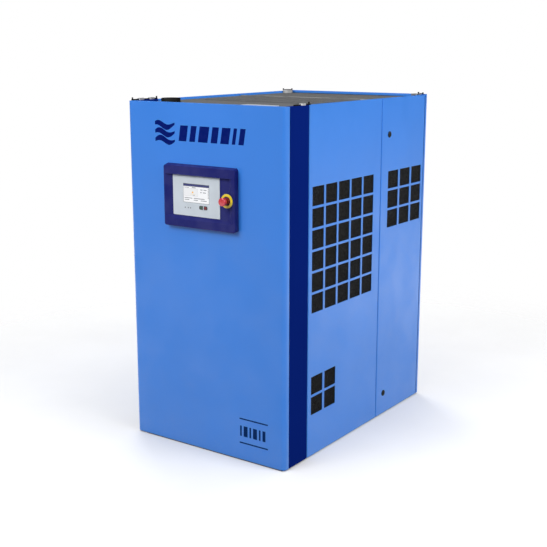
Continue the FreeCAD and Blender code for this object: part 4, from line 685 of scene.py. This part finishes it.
# Thickness of the glue film between a pad and its door.
GLUE = 0.0003


def door_pad(name, side, z0, z1, step=0.0085):
    """Acoustic pad glued inside a door, cut out around the latch housings."""
    y0, y1 = PAD_LOW.y, PAD_HIGH.y

    def keep(y, z):
        return not any(abs(z - latch_z) < 0.064 and 0.190 < y < 0.284 for latch_z in LATCH_HEIGHTS)

    body = "right_door" if side > 0 else "left_door"
    pad = slab(name, y0, y1, z0, z1, step, lambda y, z: egg_crate(y, z, y0, y1, z0, z1),
               lambda d: side * (PAD_HIGH.x - GLUE - d), acoustic, body, keep)
    return pad


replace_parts(door_pad("right_pad_lower", 1, PAD_LOW.z, 0.945), "right_door_foam")
door_pad("right_pad_upper", 1, 1.290, PAD_HIGH.z)
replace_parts(door_pad("left_pad_lower", -1, PAD_LOW.z, 0.840), "left_door_foam")
door_pad("left_pad_upper", -1, 0.860, PAD_HIGH.z)


def bulb_seal(name, side, body):
    """Clip-on bulb seal along the free edge of a door."""
    count = 14
    centre_x = side * 0.4142
    foot, top, steps = 0.024, 1.594, 60
    verts, faces = [], []
    for i in range(steps + 1):
        z = foot + i * (top - foot) / steps
        r = SEAL_RADIUS + 0.00025 * math.sin(i * 1.7)
        for j in range(count):
            a = 2 * math.pi * j / count
            verts.append((centre_x + r * math.cos(a), SEAL_Y + r * math.sin(a), z))
    for i in range(steps):
        for j in range(count):
            k = (j + 1) % count
            faces.append([i * count + j, i * count + k, (i + 1) * count + k, (i + 1) * count + j])
    faces.append(list(range(count)))
    faces.append([steps * count + j for j in reversed(range(count))])
    return make_object(name, verts, faces, rubber_black, body, True)


bulb_seal("right_door_seal", 1, "right_door")
bulb_seal("left_door_seal", -1, "left_door")

# From the terminal box of the refrigerant compressor, up the wall between the bays and through it.
compressor_run = [
    (0.368, 0.404, 0.300), (0.368, 0.350, 0.300), (0.366, 0.262, 0.300), (0.366, 0.254, 0.400),
    (0.366, 0.254, 0.540), (0.366, 0.256, 0.600), (0.366, 0.241, 0.620),
]
cable("compressor_cable", compressor_run, 0.0055, rubber_black, "cabinet")
# From the condenser fan's motor down to the same wall.
fan_run = [
    (0.205, 0.384, 1.115), (0.205, 0.340, 1.112), (0.205, 0.300, 1.060), (0.205, 0.262, 1.060),
    (0.205, 0.241, 1.062),
]
cable("dryer_fan_cable", fan_run, 0.0045, rubber_black, "cabinet")
# Insulation on the cold suction line, from the heat exchanger down and across to the compressor.
suction_run = [
    (0.133, 0.520, 0.420), (0.150, 0.520, 0.420), (0.160, 0.520, 0.418), (0.160, 0.520, 0.400),
    (0.160, 0.520, 0.330), (0.160, 0.520, 0.262), (0.160, 0.518, 0.240), (0.160, 0.500, 0.240),
    (0.160, 0.462, 0.240), (0.160, 0.432, 0.240), (0.162, 0.430, 0.240), (0.174, 0.430, 0.240),
]
cable("suction_sleeve", suction_run, 0.0150, insulation, "cabinet", 24)


# ---- film on the front panel ---------------------------------------------------------------------
def slanted(x0, x1, z0, z1, lean=0.0):
    """Bar from z0 to z1 whose top is shifted by lean; upright without it."""
    return [(x0, z0), (x1, z0), (x1 + lean, z1), (x0 + lean, z1)]


def bar_row(x, widths, gap, z0, z1, lean=0.0):
    """Row of bars of the given widths, starting at x."""
    row = []
    for width in widths:
        row.append(slanted(x, x + width, z0, z1, lean))
        x += width + gap
    return row


def ribbon(x0, x1, z, half, swing, phase, count=18):
    """Waving ribbon as one closed outline."""
    top, bottom = [], []
    for i in range(count + 1):
        t = i / count
        x = x0 + (x1 - x0) * t
        centre = z + swing * math.sin(2 * math.pi * t + phase)
        width = half * (0.35 + 0.65 * math.sin(math.pi * min(1.0, 0.12 + t * 0.88)))
        top.append((x, centre + width))
        bottom.append((x, centre - width))
    return bottom + top[::-1]


MARK_FOOT, MARK_TOP = 1.449, 1.519
ribbons = [ribbon(-0.276, -0.160, MARK_FOOT + 0.034 * i, 0.0135, 0.0100, 0.4 * i) for i in range(3)]
film("front_mark", ribbons, FRONT_FACE_Y, ink_navy, "cabinet")
stripe_widths = (0.044, 0.032, 0.054, 0.036, 0.046, 0.018, 0.028)
stripes = bar_row(-0.138, stripe_widths, 0.0175, MARK_FOOT, MARK_TOP, 0.012)
film("front_stripes", stripes, FRONT_FACE_Y, ink_navy, "cabinet")
line_half = 0.0032
lines = [slanted(0.192, 0.351, z - line_half, z + line_half) for z in (0.204, 0.088)]
film("plate_lines", lines, FRONT_FACE_Y, ink_dark, "cabinet")
tally_widths = (0.009, 0.022, 0.009, 0.022, 0.009, 0.016)
film("plate_bars", bar_row(0.195, tally_widths, 0.011, 0.120, 0.170), FRONT_FACE_Y, ink_dark, "cabinet")


# ---- key symbols ---------------------------------------------------------------------------------
def ring_outline(cx, cz, outer, inner, count=20):
    """Ring as count four-sided pieces."""
    parts = []
    for i in range(count):
        a, b = 2 * math.pi * i / count, 2 * math.pi * (i + 1) / count
        corners = ((outer, a), (outer, b), (inner, b), (inner, a))
        parts.append([(cx + r * math.cos(turn), cz + r * math.sin(turn)) for r, turn in corners])
    return parts


start_bar = slanted(-0.0040, -0.0010, 1.1545, 1.1655)
film("start_symbol", [start_bar], KEY_FACE_Y, ink_green, "start_button", 0.0002)
stop_ring = ring_outline(0.0225, 1.160, 0.0052, 0.0030)
film("stop_symbol", stop_ring, KEY_FACE_Y, ink_red, "stop_button", 0.0002)


# ---- floor, light and camera ---------------------------------------------------------------------
def floor():
    """Pale studio floor that returns little light upwards, so the cabinet darkens towards its foot.

    Its mirror image is thinner, most of all in the front panel, so that the bright studio shows through it.
    """
    bpy.ops.mesh.primitive_circle_add(vertices=96, radius=9.0, fill_type="NGON", location=(0, 0, 0))
    disc = bpy.context.object
    disc.name = "studio_floor"
    m = Look("studio_floor", roughness=0.8)
    tone = m.fit(m.noise(1.5, 3.0), 0.3, 0.7)
    bounce = m.add("ShaderNodeLightPath").outputs["Is Diffuse Ray"]
    seen = m.mix(tone, (0.80, 0.80, 0.80), (0.83, 0.83, 0.83))
    m.set("Base Color", m.mix(bounce, seen, (0.13, 0.13, 0.13)))
    m.set("Normal", m.bump(m.noise(60.0, 3.0), 0.05, 0.001))
    m.set("Specular IOR Level", 0.1)
    spread = m.add("ShaderNodeVectorMath", operation="LENGTH")
    m.put(spread.inputs[0], m.coord)
    shown = m.fit(spread.outputs["Value"], 1.3, 3.2, 1.0, 0.0)
    mirrored = m.add("ShaderNodeLightPath").outputs["Is Glossy Ray"]
    thinned = m.math("MULTIPLY", mirrored, m.fit(m.axis("Y"), -0.60, -0.75, 0.22, 0.60))
    m.set("Alpha", m.math("MULTIPLY", shown, m.math("SUBTRACT", 1.0, thinned)))
    disc.data.materials.append(m.mat)


def world():
    """White backdrop for the camera, a soft sky for diffuse light and dark studio walls in reflections."""
    w = bpy.data.worlds.new("studio")
    bpy.context.scene.world = w
    w.use_nodes = True
    tree = w.node_tree
    links = tree.links
    background = tree.nodes["Background"]
    coord = tree.nodes.new("ShaderNodeTexCoord")
    split = tree.nodes.new("ShaderNodeSeparateXYZ")
    path = tree.nodes.new("ShaderNodeLightPath")
    links.new(coord.outputs["Generated"], split.inputs[0])

    def ramp(lo, hi, low_color, high_color):
        """Colour by how high a ray points, from low_color at lo to high_color at hi."""
        fac = tree.nodes.new("ShaderNodeMapRange")
        fac.interpolation_type = "SMOOTHSTEP"
        fac.inputs["From Min"].default_value = lo
        fac.inputs["From Max"].default_value = hi
        links.new(split.outputs["Z"], fac.inputs["Value"])
        mix = tree.nodes.new("ShaderNodeMix")
        mix.data_type = "RGBA"
        mix.inputs[6].default_value = (*low_color, 1.0)
        mix.inputs[7].default_value = (*high_color, 1.0)
        links.new(fac.outputs[0], mix.inputs["Factor"])
        return mix.outputs[2]

    def choose(ray, otherwise, when):
        """One colour for the given kind of ray and another for all others."""
        mix = tree.nodes.new("ShaderNodeMix")
        mix.data_type = "RGBA"
        links.new(path.outputs[ray], mix.inputs["Factor"])
        links.new(otherwise, mix.inputs[6])
        links.new(when, mix.inputs[7])
        return mix.outputs[2]

    diffuse = ramp(-0.20, 0.65, (0.03, 0.03, 0.03), (0.72, 0.725, 0.74))
    glossy = ramp(-0.23, -0.06, (2.60, 2.62, 2.66), (0.02, 0.02, 0.025))
    white = ramp(-1.0, 1.0, (1.0, 1.0, 1.0), (1.0, 1.0, 1.0))
    color = choose("Is Camera Ray", choose("Is Glossy Ray", diffuse, glossy), white)
    links.new(color, background.inputs["Color"])
    background.inputs["Strength"].default_value = 1.0


def area_light(name, location, target, width, height, power, color=(1, 1, 1), mirrored=True):
    """Soft box that looks at target. mirrored says whether glossy faces reflect it."""
    data = bpy.data.lights.new(name, "AREA")
    data.shape = "RECTANGLE"
    data.size, data.size_y = width, height
    data.energy = power
    data.color = color
    obj = bpy.data.objects.new(name, data)
    obj.location = location
    direction = Vector(target) - Vector(location)
    obj.rotation_mode = "QUATERNION"
    obj.rotation_quaternion = direction.to_track_quat("-Z", "Y")
    bpy.context.scene.collection.objects.link(obj)
    obj.visible_glossy = mirrored


def camera(location, downwards, turned, lens):
    """Camera that looks downwards by one angle and is turned about the vertical by another, in degrees."""
    data = bpy.data.cameras.new("camera")
    data.sensor_width = 36.0
    data.lens = lens
    obj = bpy.data.objects.new("camera", data)
    obj.location = location
    obj.rotation_euler = (math.radians(90 - downwards), 0.0, math.radians(turned))
    bpy.context.scene.collection.objects.link(obj)
    bpy.context.scene.camera = obj


floor()
world()
area_light("front_high", (-0.5, -2.9, 3.0), (0.0, -0.6, 1.3), 2.4, 1.2, 43.0, (0.98, 0.99, 1.0))
area_light("front_far", (-1.2, -5.4, 3.6), (0.0, -0.4, 1.1), 2.6, 2.2, 66.0, (0.97, 0.985, 1.0))
area_light("side_high", (3.0, 0.0, 3.0), (0.4, 0.0, 1.3), 1.2, 2.6, 50.0, (1.0, 0.995, 0.985))
area_light("side_far", (5.4, -0.8, 3.4), (0.3, 0.0, 1.1), 2.6, 2.4, 94.0, (1.0, 0.99, 0.975))
area_light("top", (0.0, 0.4, 5.0), (0.0, 0.0, 1.0), 3.0, 3.0, 40.0, mirrored=False)
area_light("back", (-4.2, 3.4, 3.6), (0.0, 0.2, 1.0), 2.6, 2.4, 120.0, mirrored=False)
camera(location=(2.812, -4.110, 1.869), downwards=12.81, turned=35.07, lens=66.19)
scene = bpy.context.scene
scene.view_settings.view_transform = "Standard"
scene.view_settings.look = "None"
